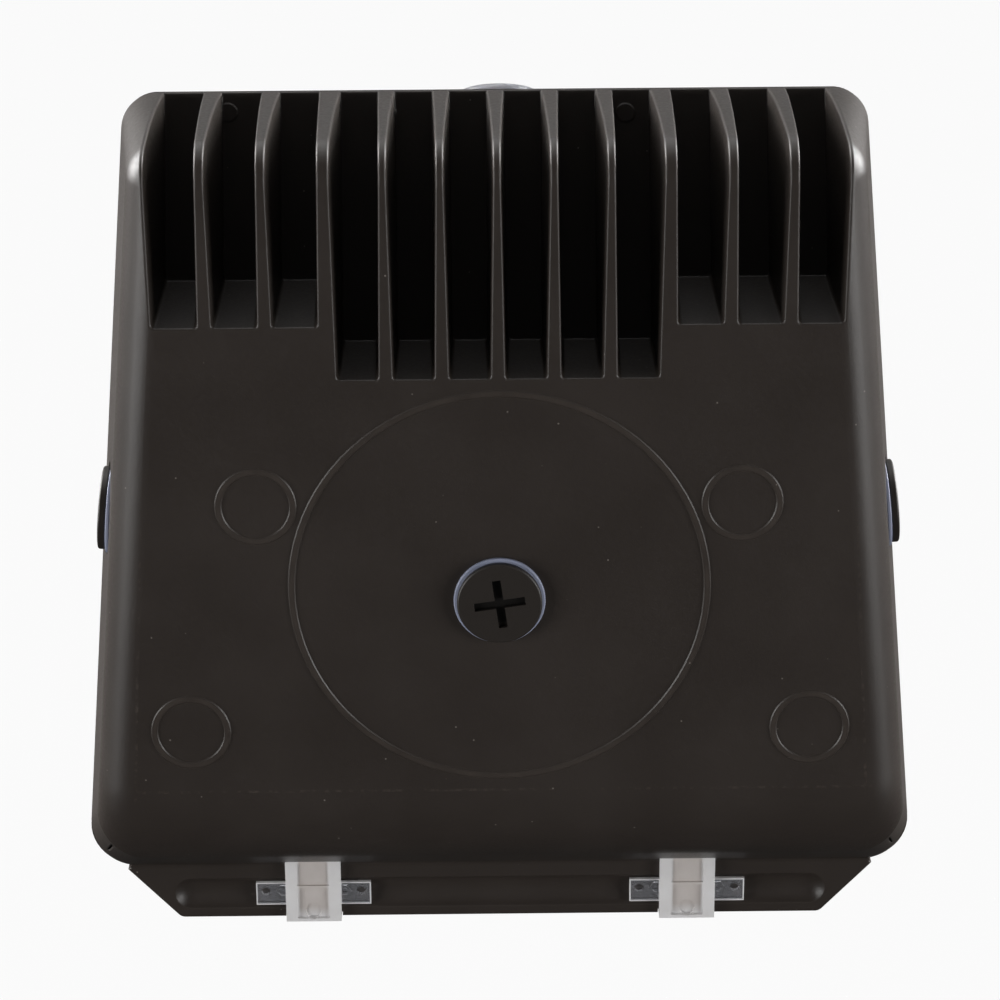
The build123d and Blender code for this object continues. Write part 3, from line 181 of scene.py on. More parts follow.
# dust: a speck wherever a scattered point lies within a hair of the surface
speck = dust_radius_mm / dust_cell_mm
nearest = add(tree, "ShaderNodeTexVoronoi",
              {"Vector": place, "Scale": per_mm(dust_cell_mm)}, "Distance")
dust = add(tree, "ShaderNodeMapRange",
           {"Value": nearest, "From Min": speck * 0.7, "From Max": speck,
            "To Min": 0.7, "To Max": 0.0})
colour = add(tree, "ShaderNodeMix", {0: dust, 6: colour, 7: linear(dust_colour)}, 2,
             data_type="RGBA")
roughness = add(tree, "ShaderNodeMapRange",
                {"Value": peel, "From Min": 0.3, "From Max": 0.7,
                 "To Min": coat_roughness - 0.04, "To Max": coat_roughness + 0.06})
off_rings = add(tree, "ShaderNodeMapRange",
                {"Value": toward_wall, "From Min": ring_heel_mm[0] * millimetre,
                 "From Max": ring_heel_mm[1] * millimetre,
                 "To Min": 1.0, "To Max": ring_heel_rounding})
eased = add(tree, "ShaderNodeMix", {0: off_rings, 4: straight, 5: turned}, 1, data_type="VECTOR")
eased = add(tree, "ShaderNodeVectorMath", {0: eased}, operation="NORMALIZE")
bump = add(tree, "ShaderNodeBump",
           {"Height": peel, "Distance": coat_peel_mm * millimetre, "Strength": 0.6,
            "Normal": eased})
wire(tree, shader, {"Base Color": colour, "Roughness": roughness, "Normal": bump,
                    "Specular IOR Level": 0.5})
dress(powder_coat, "back_housing", "door_frame")


# ---- Entry plugs
# Moulded glass-filled nylon with a cross recess, screwed into the three conduit entries.
# The face has the dull skin of a spark-eroded mould, and the rear plug's cross recess is painted
# dark as shade.
nylon_dark = "#292522"
nylon_pale = "#322d29"
recess_shade_colour = "#0a0807"
rear_face_mm = 3.0           # the rear plug's face stands this far proud of the back's plane
recess_reach_mm = 9.0        # half the span of the cross
recess_shade_depth_mm = (0.5, 0.9) # below the face: where the painted shade begins and where it is full
nylon_grain_mm = 0.5         # spark erosion is finer, drawn coarser so that it shows
nylon, tree, shader, place = begin("glass_filled_nylon")
skin = add(tree, "ShaderNodeTexNoise",
           {"Vector": place, "Scale": per_mm(nylon_grain_mm), "Detail": 3.0})
colour = add(tree, "ShaderNodeMix", {0: skin, 6: linear(nylon_dark), 7: linear(nylon_pale)}, 2,
             data_type="RGBA")
toward_wall = add(tree, "ShaderNodeSeparateXYZ", {0: place}, "Y")
off_axis = add(tree, "ShaderNodeVectorMath", {0: place, 1: (1.0, 0.0, 1.0)},
               operation="MULTIPLY")
off_axis = add(tree, "ShaderNodeVectorMath", {0: off_axis}, "Value", operation="LENGTH")
inside = add(tree, "ShaderNodeMath", {0: off_axis, 1: recess_reach_mm * millimetre},
             operation="LESS_THAN")
# painted shade in the rear plug's cross recess, darker where the recess lies deeper than the face
sunk = add(tree, "ShaderNodeMapRange",
           {"Value": toward_wall, "From Min": (rear_face_mm - recess_shade_depth_mm[1]) * millimetre,
            "From Max": (rear_face_mm - recess_shade_depth_mm[0]) * millimetre,
            "To Min": 0.9, "To Max": 0.0})
painted_recess_shade = add(tree, "ShaderNodeMath", {0: inside, 1: sunk}, operation="MULTIPLY")
colour = add(tree, "ShaderNodeMix", {0: painted_recess_shade, 6: colour, 7: linear(recess_shade_colour)}, 2,
             data_type="RGBA")
bump = add(tree, "ShaderNodeBump", {"Height": skin, "Distance": 0.02 * millimetre, "Strength": 0.6})
wire(tree, shader, {"Base Color": colour, "Roughness": 0.42, "Normal": bump})
dress(nylon, "rear_entry_plug", "left_entry_plug", "right_entry_plug")


# ---- Entry washers
# Soft silicone rings squeezed under the plugs' flanges, bluish grey and slightly clear.
silicone_dark = "#959cb4"
silicone_pale = "#a5abc0"
silicone_depth_mm = 1.0      # how far light goes in
silicone, tree, shader, place = begin("silicone_rubber")
cloud = add(tree, "ShaderNodeTexNoise", {"Vector": place, "Scale": per_mm(4.0)})
colour = add(tree, "ShaderNodeMix", {0: cloud, 6: linear(silicone_dark), 7: linear(silicone_pale)},
             2, data_type="RGBA")
skin = add(tree, "ShaderNodeTexNoise", {"Vector": place, "Scale": per_mm(0.4)})
bump = add(tree, "ShaderNodeBump", {"Height": skin, "Distance": 0.01 * millimetre, "Strength": 0.5})
wire(tree, shader, {"Base Color": colour, "Roughness": 0.38, "Subsurface Weight": 0.25,
                    "Subsurface Radius": [silicone_depth_mm * millimetre] * 3, "Normal": bump})
dress(silicone, "rear_entry_washer", "left_entry_washer", "right_entry_washer")


# ---- Hinge clips
# Each is one injection moulding in natural polycarbonate: milky where the body is thick,
# clear in the thin wings, with a milky rim along the wings' edges painted on as a highlight.
clip_milky = ("#efedec", "#f6f5f6")
clip_cream = ("#d3cbc6", "#ddd6d2")      # the sunk panel between the ribs
clip_clear = "#eceef4"
clip_middle_mm = 56.0        # x of either clip's middle
clip_half_body_mm = 8.25
panel_half_mm = 4.6
panel_edge_mm = 0.6
panel_foot_z_mm = -131.0
panel_fade_mm = 3.0
wing_half_length_mm = 17.2
wing_half_height_mm = 3.7
wing_middle_z_mm = -123.85
wing_start_mm = 0.3          # from the body to the clear part
wing_highlight_rim_mm = (0.2, 0.5)     # the painted highlight rim ends between these distances from the edge
polycarbonate, tree, shader, place = begin("natural_polycarbonate")
across = add(tree, "ShaderNodeSeparateXYZ", {0: place}, "X")
height = add(tree, "ShaderNodeSeparateXYZ", {0: place}, "Z")
half_across = add(tree, "ShaderNodeMath", {0: across}, operation="ABSOLUTE")
from_middle = add(tree, "ShaderNodeMath", {0: half_across, 1: clip_middle_mm * millimetre},
                  operation="SUBTRACT")
from_middle = add(tree, "ShaderNodeMath", {0: from_middle}, operation="ABSOLUTE")
in_wing = add(tree, "ShaderNodeMapRange",
              {"Value": from_middle, "From Min": clip_half_body_mm * millimetre,
               "From Max": (clip_half_body_mm + wing_start_mm) * millimetre})
to_end = add(tree, "ShaderNodeMath", {0: wing_half_length_mm * millimetre, 1: from_middle},
             operation="SUBTRACT")
off_middle = add(tree, "ShaderNodeMath", {0: height, 1: -wing_middle_z_mm * millimetre})
off_middle = add(tree, "ShaderNodeMath", {0: off_middle}, operation="ABSOLUTE")
to_side = add(tree, "ShaderNodeMath", {0: wing_half_height_mm * millimetre, 1: off_middle},
              operation="SUBTRACT")
to_edge = add(tree, "ShaderNodeMath", {0: to_end, 1: to_side}, operation="MINIMUM")
# a milky rim along each wing's edge: a painted highlight where the clear edge catches the light
inside_edge = add(tree, "ShaderNodeMapRange",
                  {"Value": to_edge, "From Min": wing_highlight_rim_mm[0] * millimetre,
                   "From Max": wing_highlight_rim_mm[1] * millimetre})
clear = add(tree, "ShaderNodeMath", {0: in_wing, 1: inside_edge}, operation="MULTIPLY")
haze = add(tree, "ShaderNodeTexNoise", {"Vector": place, "Scale": per_mm(3.0)})
milky = add(tree, "ShaderNodeMix", {0: haze, 6: linear(clip_milky[0]), 7: linear(clip_milky[1])},
            2, data_type="RGBA")
cream = add(tree, "ShaderNodeMix", {0: haze, 6: linear(clip_cream[0]), 7: linear(clip_cream[1])},
            2, data_type="RGBA")
in_panel = add(tree, "ShaderNodeMapRange",
               {"Value": from_middle, "From Min": (panel_half_mm - panel_edge_mm) * millimetre,
                "From Max": panel_half_mm * millimetre, "To Min": 1.0, "To Max": 0.0})
above_foot = add(tree, "ShaderNodeMapRange",
                 {"Value": height, "From Min": panel_foot_z_mm * millimetre,
                  "From Max": (panel_foot_z_mm + panel_fade_mm) * millimetre})
in_panel = add(tree, "ShaderNodeMath", {0: in_panel, 1: above_foot}, operation="MULTIPLY")
milky = add(tree, "ShaderNodeMix", {0: in_panel, 6: milky, 7: cream}, 2, data_type="RGBA")
colour = add(tree, "ShaderNodeMix", {0: clear, 6: milky, 7: linear(clip_clear)}, 2,
             data_type="RGBA")
passes = add(tree, "ShaderNodeMapRange", {"Value": clear, "To Min": 0.15, "To Max": 0.97})
roughness = add(tree, "ShaderNodeMapRange", {"Value": clear, "To Min": 0.42, "To Max": 0.08})
ripple = add(tree, "ShaderNodeTexNoise", {"Vector": place, "Scale": per_mm(1.5)})
bump = add(tree, "ShaderNodeBump",
           {"Height": ripple, "Distance": 0.02 * millimetre, "Strength": 0.4})
wire(tree, shader, {"Base Color": colour, "Transmission Weight": passes, "Roughness": roughness,
                    "IOR": 1.58, "Normal": bump})
dress(polycarbonate, "hinge_clip_left", "hinge_clip_right")


# ---- Hinge pins
# Bright drawn steel rod, cut to length. Drawing leaves fine lines along it.
steel_dark = "#a9a9ab"
steel_pale = "#c3c3c4"
drawn_line_mm = 3.0
drawn_fineness = 14.0        # a line is this many times longer than wide
bright_steel, tree, shader, place = begin("bright_drawn_steel")
stretched = add(tree, "ShaderNodeMapping",
                {"Vector": place, "Scale": (1.0, drawn_fineness, drawn_fineness)})
lines = add(tree, "ShaderNodeTexNoise",
            {"Vector": stretched, "Scale": per_mm(drawn_line_mm), "Detail": 3.0})
colour = add(tree, "ShaderNodeMix", {0: lines, 6: linear(steel_dark), 7: linear(steel_pale)}, 2,
             data_type="RGBA")
roughness = add(tree, "ShaderNodeMapRange", {"Value": lines, "To Min": 0.20, "To Max": 0.38})
bump = add(tree, "ShaderNodeBump",
           {"Height": lines, "Distance": 0.01 * millimetre, "Strength": 0.4})
wire(tree, shader, {"Base Color": colour, "Metallic": 1.0, "Roughness": roughness, "Normal": bump})
dress(bright_steel, "hinge_pin_left", "hinge_pin_right")


# ---- Plated screws, clips and brackets
# Pressed or turned steel with clear zinc plating, which looks slightly cloudy and blue.
zinc_dark = "#b3b6ba"
zinc_pale = "#cbccca"
zinc_cloud_mm = 2.5
zinc, tree, shader, place = begin("zinc_plated_steel")
cloud = add(tree, "ShaderNodeTexNoise",
            {"Vector": place, "Scale": per_mm(zinc_cloud_mm), "Detail": 4.0})
colour = add(tree, "ShaderNodeMix", {0: cloud, 6: linear(zinc_dark), 7: linear(zinc_pale)}, 2,
             data_type="RGBA")
roughness = add(tree, "ShaderNodeMapRange", {"Value": cloud, "To Min": 0.22, "To Max": 0.48})
bump = add(tree, "ShaderNodeBump",
           {"Height": cloud, "Distance": 0.01 * millimetre, "Strength": 0.4})
wire(tree, shader, {"Base Color": colour, "Metallic": 1.0, "Roughness": roughness, "Normal": bump})
dress(zinc, "led_board_screws", "driver_base", "driver_standoffs", "driver_screws",
      "terminal_screws", "terminal_fixings", "tray_screws", "lens_clips", "lens_clip_screws")


# ---- Door screws
# Turned stainless steel, long, with a pan head and a cross recess. The lathe leaves a fine
# grain on the head.
stainless_dark = "#8f8e8c"
stainless_pale = "#a8a7a4"
turning_mm = 0.7
stainless, tree, shader, place = begin("turned_stainless_steel")
turning = add(tree, "ShaderNodeTexNoise",
              {"Vector": place, "Scale": per_mm(turning_mm), "Detail": 3.0})
colour = add(tree, "ShaderNodeMix",
             {0: turning, 6: linear(stainless_dark), 7: linear(stainless_pale)}, 2,
             data_type="RGBA")
roughness = add(tree, "ShaderNodeMapRange", {"Value": turning, "To Min": 0.25, "To Max": 0.45})
bump = add(tree, "ShaderNodeBump",
           {"Height": turning, "Distance": 0.01 * millimetre, "Strength": 0.4})
wire(tree, shader, {"Base Color": colour, "Metallic": 1.0, "Roughness": roughness, "Normal": bump})
dress(stainless, "door_screw_left", "door_screw_right")


# ---- Ground screw
# Steel with green dyed zinc plating, the usual mark of an earth terminal.
green_dark = "#2f6a35"
green_pale = "#3f8544"
green_zinc, tree, shader, place = begin("green_dyed_zinc_plating")
cloud = add(tree, "ShaderNodeTexNoise", {"Vector": place, "Scale": per_mm(1.5), "Detail": 3.0})
colour = add(tree, "ShaderNodeMix", {0: cloud, 6: linear(green_dark), 7: linear(green_pale)}, 2,
             data_type="RGBA")
bump = add(tree, "ShaderNodeBump",
           {"Height": cloud, "Distance": 0.01 * millimetre, "Strength": 0.4})
wire(tree, shader, {"Base Color": colour, "Metallic": 0.7, "Roughness": 0.35, "Normal": bump})
dress(green_zinc, "ground_screw")


# ---- Seals
# Closed-cell silicone: a cord in the door's groove, a flat gasket under the lens and one
# under the photocell. Black and dull, with fine cells in the skin.
foam_dark = "#19191a"
foam_pale = "#262626"
foam_cell_mm = 0.8
foam, tree, shader, place = begin("closed_cell_silicone")
cells = add(tree, "ShaderNodeTexVoronoi", {"Vector": place, "Scale": per_mm(foam_cell_mm)},
            "Distance")
colour = add(tree, "ShaderNodeMix", {0: cells, 6: linear(foam_dark), 7: linear(foam_pale)}, 2,
             data_type="RGBA")
bump = add(tree, "ShaderNodeBump",
           {"Height": cells, "Distance": 0.05 * millimetre, "Strength": 0.6})
wire(tree, shader, {"Base Color": colour, "Roughness": 0.75, "Normal": bump})
dress(foam, "rim_seal", "lens_seal", "photocell_seal")


# ---- Lens
# Clear injection-moulded polycarbonate with a pebbled inside that spreads the light.
lens_tint = ("#eef2f2", "#f6f8f7")
lens_pebble_mm = 2.4
lens_pebble_height_mm = 0.12
lens_plastic, tree, shader, place = begin("clear_moulded_polycarbonate")
flow = add(tree, "ShaderNodeTexNoise", {"Vector": place, "Scale": per_mm(18.0)})
colour = add(tree, "ShaderNodeMix", {0: flow, 6: linear(lens_tint[0]), 7: linear(lens_tint[1])}, 2,
             data_type="RGBA")
pebbles = add(tree, "ShaderNodeTexVoronoi",
              {"Vector": place, "Scale": per_mm(lens_pebble_mm)}, "Distance",
              feature="SMOOTH_F1")
bump = add(tree, "ShaderNodeBump",
           {"Height": pebbles, "Distance": lens_pebble_height_mm * millimetre, "Strength": 0.5})
wire(tree, shader, {"Base Color": colour, "Transmission Weight": 1.0, "Roughness": 0.06,
                    "IOR": 1.58, "Normal": bump})
dress(lens_plastic, "lens")


# ---- Lamp board
# An aluminium-backed board with glossy white solder resist over the copper tracks, which
# show as slightly raised bands.
resist_colours = ("#dcdcd6", "#eceae4")
track_pitch_mm = 17.5
track_half_gap_mm = (1.0, 1.4)           # the copper's edge rises between these
resist, tree, shader, place = begin("white_solder_resist")
speckle = add(tree, "ShaderNodeTexNoise", {"Vector": place, "Scale": per_mm(1.2), "Detail": 3.0})
colour = add(tree, "ShaderNodeMix",
             {0: speckle, 6: linear(resist_colours[0]), 7: linear(resist_colours[1])}, 2,
             data_type="RGBA")
across = add(tree, "ShaderNodeSeparateXYZ", {0: place}, "X")
phase = add(tree, "ShaderNodeMath", {0: across, 1: track_pitch_mm * millimetre},
            operation="PINGPONG")
tracks = add(tree, "ShaderNodeMapRange",
             {"Value": phase, "From Min": track_half_gap_mm[0] * millimetre,
              "From Max": track_half_gap_mm[1] * millimetre})
bump = add(tree, "ShaderNodeBump",
           {"Height": tracks, "Distance": 0.05 * millimetre, "Strength": 0.8})
wire(tree, shader, {"Base Color": colour, "Roughness": 0.3, "Normal": bump})
dress(resist, "led_board")


# ---- Lamps
# White moulded packages, each with a round well of yellow phosphor resin. The wells are
# found from the lamps' places on the slanted board.
phosphor_colours = ("#e6b93a", "#f2cf57")
package_colour = "#e8e6df"
lamp_pitch_mm = (17.5, 20.0)
lamp_board_lean = 27.3       # degrees from upright
lamp_board_middle_mm = (0.0, -47.8, 85.0)
well_radius_mm = 1.3
well_edge_mm = 0.1
phosphor, tree, shader, place = begin("phosphor_resin")
speckle = add(tree, "ShaderNodeTexNoise", {"Vector": place, "Scale": per_mm(0.3), "Detail": 3.0})
resin = add(tree, "ShaderNodeMix",
            {0: speckle, 6: linear(phosphor_colours[0]), 7: linear(phosphor_colours[1])}, 2,
            data_type="RGBA")
middle = [value * millimetre for value in lamp_board_middle_mm]
on_board = add(tree, "ShaderNodeVectorMath", {0: place, 1: middle}, operation="SUBTRACT")
on_board = add(tree, "ShaderNodeVectorRotate",
               {"Vector": on_board, "Angle": radians(lamp_board_lean)}, rotation_type="X_AXIS")
across = add(tree, "ShaderNodeSeparateXYZ", {0: on_board}, "X")
along = add(tree, "ShaderNodeSeparateXYZ", {0: on_board}, "Z")
from_column = add(tree, "ShaderNodeMath", {0: across, 1: lamp_pitch_mm[0] / 2 * millimetre},
                  operation="PINGPONG")
from_column = add(tree, "ShaderNodeMath",
                  {0: lamp_pitch_mm[0] / 2 * millimetre, 1: from_column}, operation="SUBTRACT")
from_row = add(tree, "ShaderNodeMath", {0: along, 1: lamp_pitch_mm[1] / 2 * millimetre},
               operation="PINGPONG")
from_row = add(tree, "ShaderNodeMath", {0: lamp_pitch_mm[1] / 2 * millimetre, 1: from_row},
               operation="SUBTRACT")
offset = add(tree, "ShaderNodeCombineXYZ", {0: from_column, 1: from_row, 2: 0.0})
distance = add(tree, "ShaderNodeVectorMath", {0: offset}, "Value", operation="LENGTH")
outside = add(tree, "ShaderNodeMapRange",
              {"Value": distance, "From Min": well_radius_mm * millimetre,
               "From Max": (well_radius_mm + well_edge_mm) * millimetre})
colour = add(tree, "ShaderNodeMix", {0: outside, 6: resin, 7: linear(package_colour)}, 2,
             data_type="RGBA")
wire(tree, shader, {"Base Color": colour, "Roughness": 0.4})
dress(phosphor, "led_chips")


# ---- Optic plate
# Water-clear moulded acrylic with a dome over each lamp.
acrylic_tint = ("#f4f7f8", "#fbfcfc")
acrylic, tree, shader, place = begin("clear_acrylic")
flow = add(tree, "ShaderNodeTexNoise", {"Vector": place, "Scale": per_mm(9.0)})
colour = add(tree, "ShaderNodeMix",
             {0: flow, 6: linear(acrylic_tint[0]), 7: linear(acrylic_tint[1])}, 2,
             data_type="RGBA")
bump = add(tree, "ShaderNodeBump",
           {"Height": flow, "Distance": 0.01 * millimetre, "Strength": 0.3})
wire(tree, shader, {"Base Color": colour, "Transmission Weight": 1.0, "Roughness": 0.04,
                    "IOR": 1.49, "Normal": bump})
dress(acrylic, "led_optic")


# ---- Reflector tray
# Sheet steel with gloss white enamel, screwed over the wiring.
enamel_colours = ("#dfdfda", "#e9e9e4")
enamel, tree, shader, place = begin("white_enamelled_sheet")
cloud = add(tree, "ShaderNodeTexNoise", {"Vector": place, "Scale": per_mm(40.0)})
colour = add(tree, "ShaderNodeMix",
             {0: cloud, 6: linear(enamel_colours[0]), 7: linear(enamel_colours[1])}, 2,
             data_type="RGBA")
peel = add(tree, "ShaderNodeTexNoise", {"Vector": place, "Scale": per_mm(1.4)})
bump = add(tree, "ShaderNodeBump", {"Height": peel, "Distance": 0.03 * millimetre, "Strength": 0.5})
wire(tree, shader, {"Base Color": colour, "Roughness": 0.25, "Normal": bump})
dress(enamel, "reflector_tray")


# ---- Driver
# A folded steel case in light grey paint, with a fibreglass board and its parts inside.
paint_colours = ("#c2c4c5", "#cfd0d0")
board_colours = ("#1c5c33", "#256b3d")
case_colours = ("#17181a", "#222326")
weave_mm = 1.3               # the real weave is about 0.5 mm, drawn coarser so that it shows
grey_paint, tree, shader, place = begin("light_grey_paint")
cloud = add(tree, "ShaderNodeTexNoise", {"Vector": place, "Scale": per_mm(25.0)})
colour = add(tree, "ShaderNodeMix",
             {0: cloud, 6: linear(paint_colours[0]), 7: linear(paint_colours[1])}, 2,
             data_type="RGBA")
peel = add(tree, "ShaderNodeTexNoise", {"Vector": place, "Scale": per_mm(1.0)})
bump = add(tree, "ShaderNodeBump", {"Height": peel, "Distance": 0.03 * millimetre, "Strength": 0.5})
wire(tree, shader, {"Base Color": colour, "Roughness": 0.4, "Normal": bump})
dress(grey_paint, "driver_cover")

fibreglass, tree, shader, place = begin("green_fibreglass_board")
weave = add(tree, "ShaderNodeTexWave",
            {"Vector": place, "Scale": per_mm(weave_mm) / 20, "Distortion": 0.5}, "Fac")
colour = add(tree, "ShaderNodeMix",
             {0: weave, 6: linear(board_colours[0]), 7: linear(board_colours[1])}, 2,
             data_type="RGBA")
wire(tree, shader, {"Base Color": colour, "Roughness": 0.35})
dress(fibreglass, "driver_board")

cases, tree, shader, place = begin("moulded_component_cases")
skin = add(tree, "ShaderNodeTexNoise", {"Vector": place, "Scale": per_mm(0.6)})
colour = add(tree, "ShaderNodeMix",
             {0: skin, 6: linear(case_colours[0]), 7: linear(case_colours[1])}, 2,
             data_type="RGBA")
bump = add(tree, "ShaderNodeBump", {"Height": skin, "Distance": 0.02 * millimetre, "Strength": 0.5})
wire(tree, shader, {"Base Color": colour, "Roughness": 0.4, "Normal": bump})
dress(cases, "driver_components")


# ---- Terminal block
# Moulded ivory nylon with a fine spark-eroded skin.
ivory_colours = ("#d9d5c6", "#e4e0d2")
ivory, tree, shader, place = begin("ivory_nylon")
skin = add(tree, "ShaderNodeTexNoise", {"Vector": place, "Scale": per_mm(0.6)})
colour = add(tree, "ShaderNodeMix",
             {0: skin, 6: linear(ivory_colours[0]), 7: linear(ivory_colours[1])}, 2,
             data_type="RGBA")
bump = add(tree, "ShaderNodeBump", {"Height": skin, "Distance": 0.02 * millimetre, "Strength": 0.5})
wire(tree, shader, {"Base Color": colour, "Roughness": 0.5, "Normal": bump})
dress(ivory, "terminal_block")


# ---- Photocell
# A moulded black nylon body through the roof, held by a nut, under a milky translucent cap.
black_colours = ("#141415", "#1d1d1e")
cap_colours = ("#e6e7ee", "#eeeef3")
cell_colours = ("#b5602a", "#d9c9a8")
cell_stripe_mm = 0.7
black_nylon, tree, shader, place = begin("black_moulded_nylon")
skin = add(tree, "ShaderNodeTexNoise", {"Vector": place, "Scale": per_mm(0.5)})
colour = add(tree, "ShaderNodeMix",
             {0: skin, 6: linear(black_colours[0]), 7: linear(black_colours[1])}, 2,
             data_type="RGBA")
bump = add(tree, "ShaderNodeBump", {"Height": skin, "Distance": 0.02 * millimetre, "Strength": 0.5})
wire(tree, shader, {"Base Color": colour, "Roughness": 0.45, "Normal": bump})
dress(black_nylon, "photocell_body", "photocell_nut")

milky_cap, tree, shader, place = begin("milky_polycarbonate")
haze = add(tree, "ShaderNodeTexNoise", {"Vector": place, "Scale": per_mm(5.0)})
colour = add(tree, "ShaderNodeMix",
             {0: haze, 6: linear(cap_colours[0]), 7: linear(cap_colours[1])}, 2,
             data_type="RGBA")
bump = add(tree, "ShaderNodeBump", {"Height": haze, "Distance": 0.02 * millimetre, "Strength": 0.4})
wire(tree, shader, {"Base Color": colour, "Roughness": 0.3, "Transmission Weight": 0.60,
                    "IOR": 1.58, "Normal": bump})
dress(milky_cap, "photocell_cap")

cell_face, tree, shader, place = begin("lacquered_photocell")
stripes = add(tree, "ShaderNodeTexWave",
              {"Vector": place, "Scale": per_mm(cell_stripe_mm) / 20}, "Fac")
colour = add(tree, "ShaderNodeMix",
             {0: stripes, 6: linear(cell_colours[0]), 7: linear(cell_colours[1])}, 2,
             data_type="RGBA")
wire(tree, shader, {"Base Color": colour, "Roughness": 0.3})
dress(cell_face, "photocell_sensor")


# ---- Floor, backdrop and lights
# A pale floor below the open door's reach and a white surround. The two main lamps stand
# left and right of the camera, and the surround is bright at the sides, overhead and
# beyond the light. Nothing bright stands near the camera.
floor_drop = 0.42            # metres below the ring centre
floor_half = 6.0
floor_grey = ("#a6a6a6", "#acacac")
floor_cloud_mm = 60.0
floor_glow_share = 0.95      # the camera sees the floor nearly white
floor_far_strength = 0.05    # what the coat's reflection shows of the floor beyond it
floor_near_strength = 0.01   # and of the floor below it, in its own shade
floor_far_y = (-1.5, -0.8)   # metres, between these the one fades into the other
floor_mesh = bpy.data.meshes.new("floor")
floor_mesh.from_pydata(
    [(-floor_half, -floor_half, -floor_drop), (floor_half, -floor_half, -floor_drop),
     (floor_half, floor_half, -floor_drop), (-floor_half, floor_half, -floor_drop)],
    [], [(0, 1, 2, 3)])
floor = bpy.data.objects.new("floor", floor_mesh)
bpy.context.collection.objects.link(floor)
floor_paint, tree, shader, place = begin("matt_pale_floor")
cloud = add(tree, "ShaderNodeTexNoise", {"Vector": place, "Scale": per_mm(floor_cloud_mm)})
colour = add(tree, "ShaderNodeMix", {0: cloud, 6: linear(floor_grey[0]), 7: linear(floor_grey[1])},
             2, data_type="RGBA")
wire(tree, shader, {"Base Color": colour, "Roughness": 0.9, "Specular IOR Level": 0.1})
camera_ray = add(tree, "ShaderNodeLightPath", {}, "Is Camera Ray")
glossy_ray = add(tree, "ShaderNodeLightPath", {}, "Is Glossy Ray")
through_ray = add(tree, "ShaderNodeLightPath", {}, "Is Transmission Ray")
direct = add(tree, "ShaderNodeMath", {0: camera_ray, 1: through_ray}, operation="MAXIMUM")
seen = add(tree, "ShaderNodeMath", {0: direct, 1: glossy_ray}, operation="MAXIMUM")
toward_camera = add(tree, "ShaderNodeSeparateXYZ", {0: place}, "Y")
mirrored = add(tree, "ShaderNodeMapRange",
               {"Value": toward_camera, "From Min": floor_far_y[0], "From Max": floor_far_y[1],
                "To Min": floor_far_strength, "To Max": floor_near_strength})
strength = add(tree, "ShaderNodeMath", {0: mirrored, 1: direct}, operation="MAXIMUM")
glow = add(tree, "ShaderNodeEmission", {"Color": linear("#ffffff"), "Strength": strength})
share = add(tree, "ShaderNodeMath", {0: seen, 1: floor_glow_share}, operation="MULTIPLY")
mixed = add(tree, "ShaderNodeMixShader", {0: share, 1: shader.outputs[0], 2: glow})
wire(tree, tree.nodes["Material Output"], {"Surface": mixed})
floor_mesh.materials.append(floor_paint)

# What the coat mirrors of the surround, by the direction's parts: sideways, toward the camera
# and upwards, each from -1 to 1. Every glow fades out between the two values named for it.
ambient_strength = 0.03
front_ambient_strength = 0.60    # soft light on the side that faces away from the camera
front_fade = (-0.6, -0.1)        # toward the camera
side_strength = 0.25
side_fade = (0.2, 0.6)           # sideways
past_side_fade = (-0.25, 0.05)   # toward the camera
side_foot_fade = (-0.30, 0.0)    # upwards
soft_box_strength = 20.0         # two bright strips beside the light
soft_box_back = 0.33             # away from the camera
soft_box_back_fade = (0.15, 0.45)
soft_box_rise = 0.30             # upwards
soft_box_rise_fade = (0.10, 0.45)
overhead_strength = 1.1
overhead_fade = (0.45, 0.95)     # upwards
off_camera_fade = (0.05, 0.40)   # toward the camera
beyond_strength = 0.45
beyond_fade = (-0.95, -0.2)      # toward the camera
above_floor_fade = (-0.02, 0.30)         # upwards
world = bpy.data.worlds.new("studio")
world.use_nodes = True
tree = world.node_tree
way = add(tree, "ShaderNodeTexCoord", {}, "Generated")
sideways = add(tree, "ShaderNodeSeparateXYZ", {0: way}, "X")
to_camera = add(tree, "ShaderNodeSeparateXYZ", {0: way}, "Y")
upwards = add(tree, "ShaderNodeSeparateXYZ", {0: way}, "Z")
sideways = add(tree, "ShaderNodeMath", {0: sideways}, operation="ABSOLUTE")
side_glow = add(tree, "ShaderNodeMapRange",
                {"Value": sideways, "From Min": side_fade[0], "From Max": side_fade[1],
                 "To Min": 0.0, "To Max": side_strength})
past_side = add(tree, "ShaderNodeMapRange",
                {"Value": to_camera, "From Min": past_side_fade[0],
                 "From Max": past_side_fade[1], "To Min": 1.0, "To Max": 0.0})
side_glow = add(tree, "ShaderNodeMath", {0: side_glow, 1: past_side}, operation="MULTIPLY")
not_low = add(tree, "ShaderNodeMapRange",
              {"Value": upwards, "From Min": side_foot_fade[0], "From Max": side_foot_fade[1]})
side_glow = add(tree, "ShaderNodeMath", {0: side_glow, 1: not_low}, operation="MULTIPLY")
beside = add(tree, "ShaderNodeMath", {0: to_camera, 1: soft_box_back}, operation="ADD")
beside = add(tree, "ShaderNodeMath", {0: beside}, operation="ABSOLUTE")
beside = add(tree, "ShaderNodeMapRange",
             {"Value": beside, "From Min": soft_box_back_fade[0],
              "From Max": soft_box_back_fade[1], "To Min": 1.0, "To Max": 0.0})
level = add(tree, "ShaderNodeMath", {0: upwards, 1: soft_box_rise}, operation="SUBTRACT")
level = add(tree, "ShaderNodeMath", {0: level}, operation="ABSOLUTE")
level = add(tree, "ShaderNodeMapRange",
            {"Value": level, "From Min": soft_box_rise_fade[0],
             "From Max": soft_box_rise_fade[1], "To Min": 1.0, "To Max": 0.0})
soft_box = add(tree, "ShaderNodeMath", {0: beside, 1: level}, operation="MULTIPLY")
soft_box = add(tree, "ShaderNodeMath", {0: soft_box, 1: soft_box_strength}, operation="MULTIPLY")
side_glow = add(tree, "ShaderNodeMath", {0: side_glow, 1: soft_box}, operation="MAXIMUM")
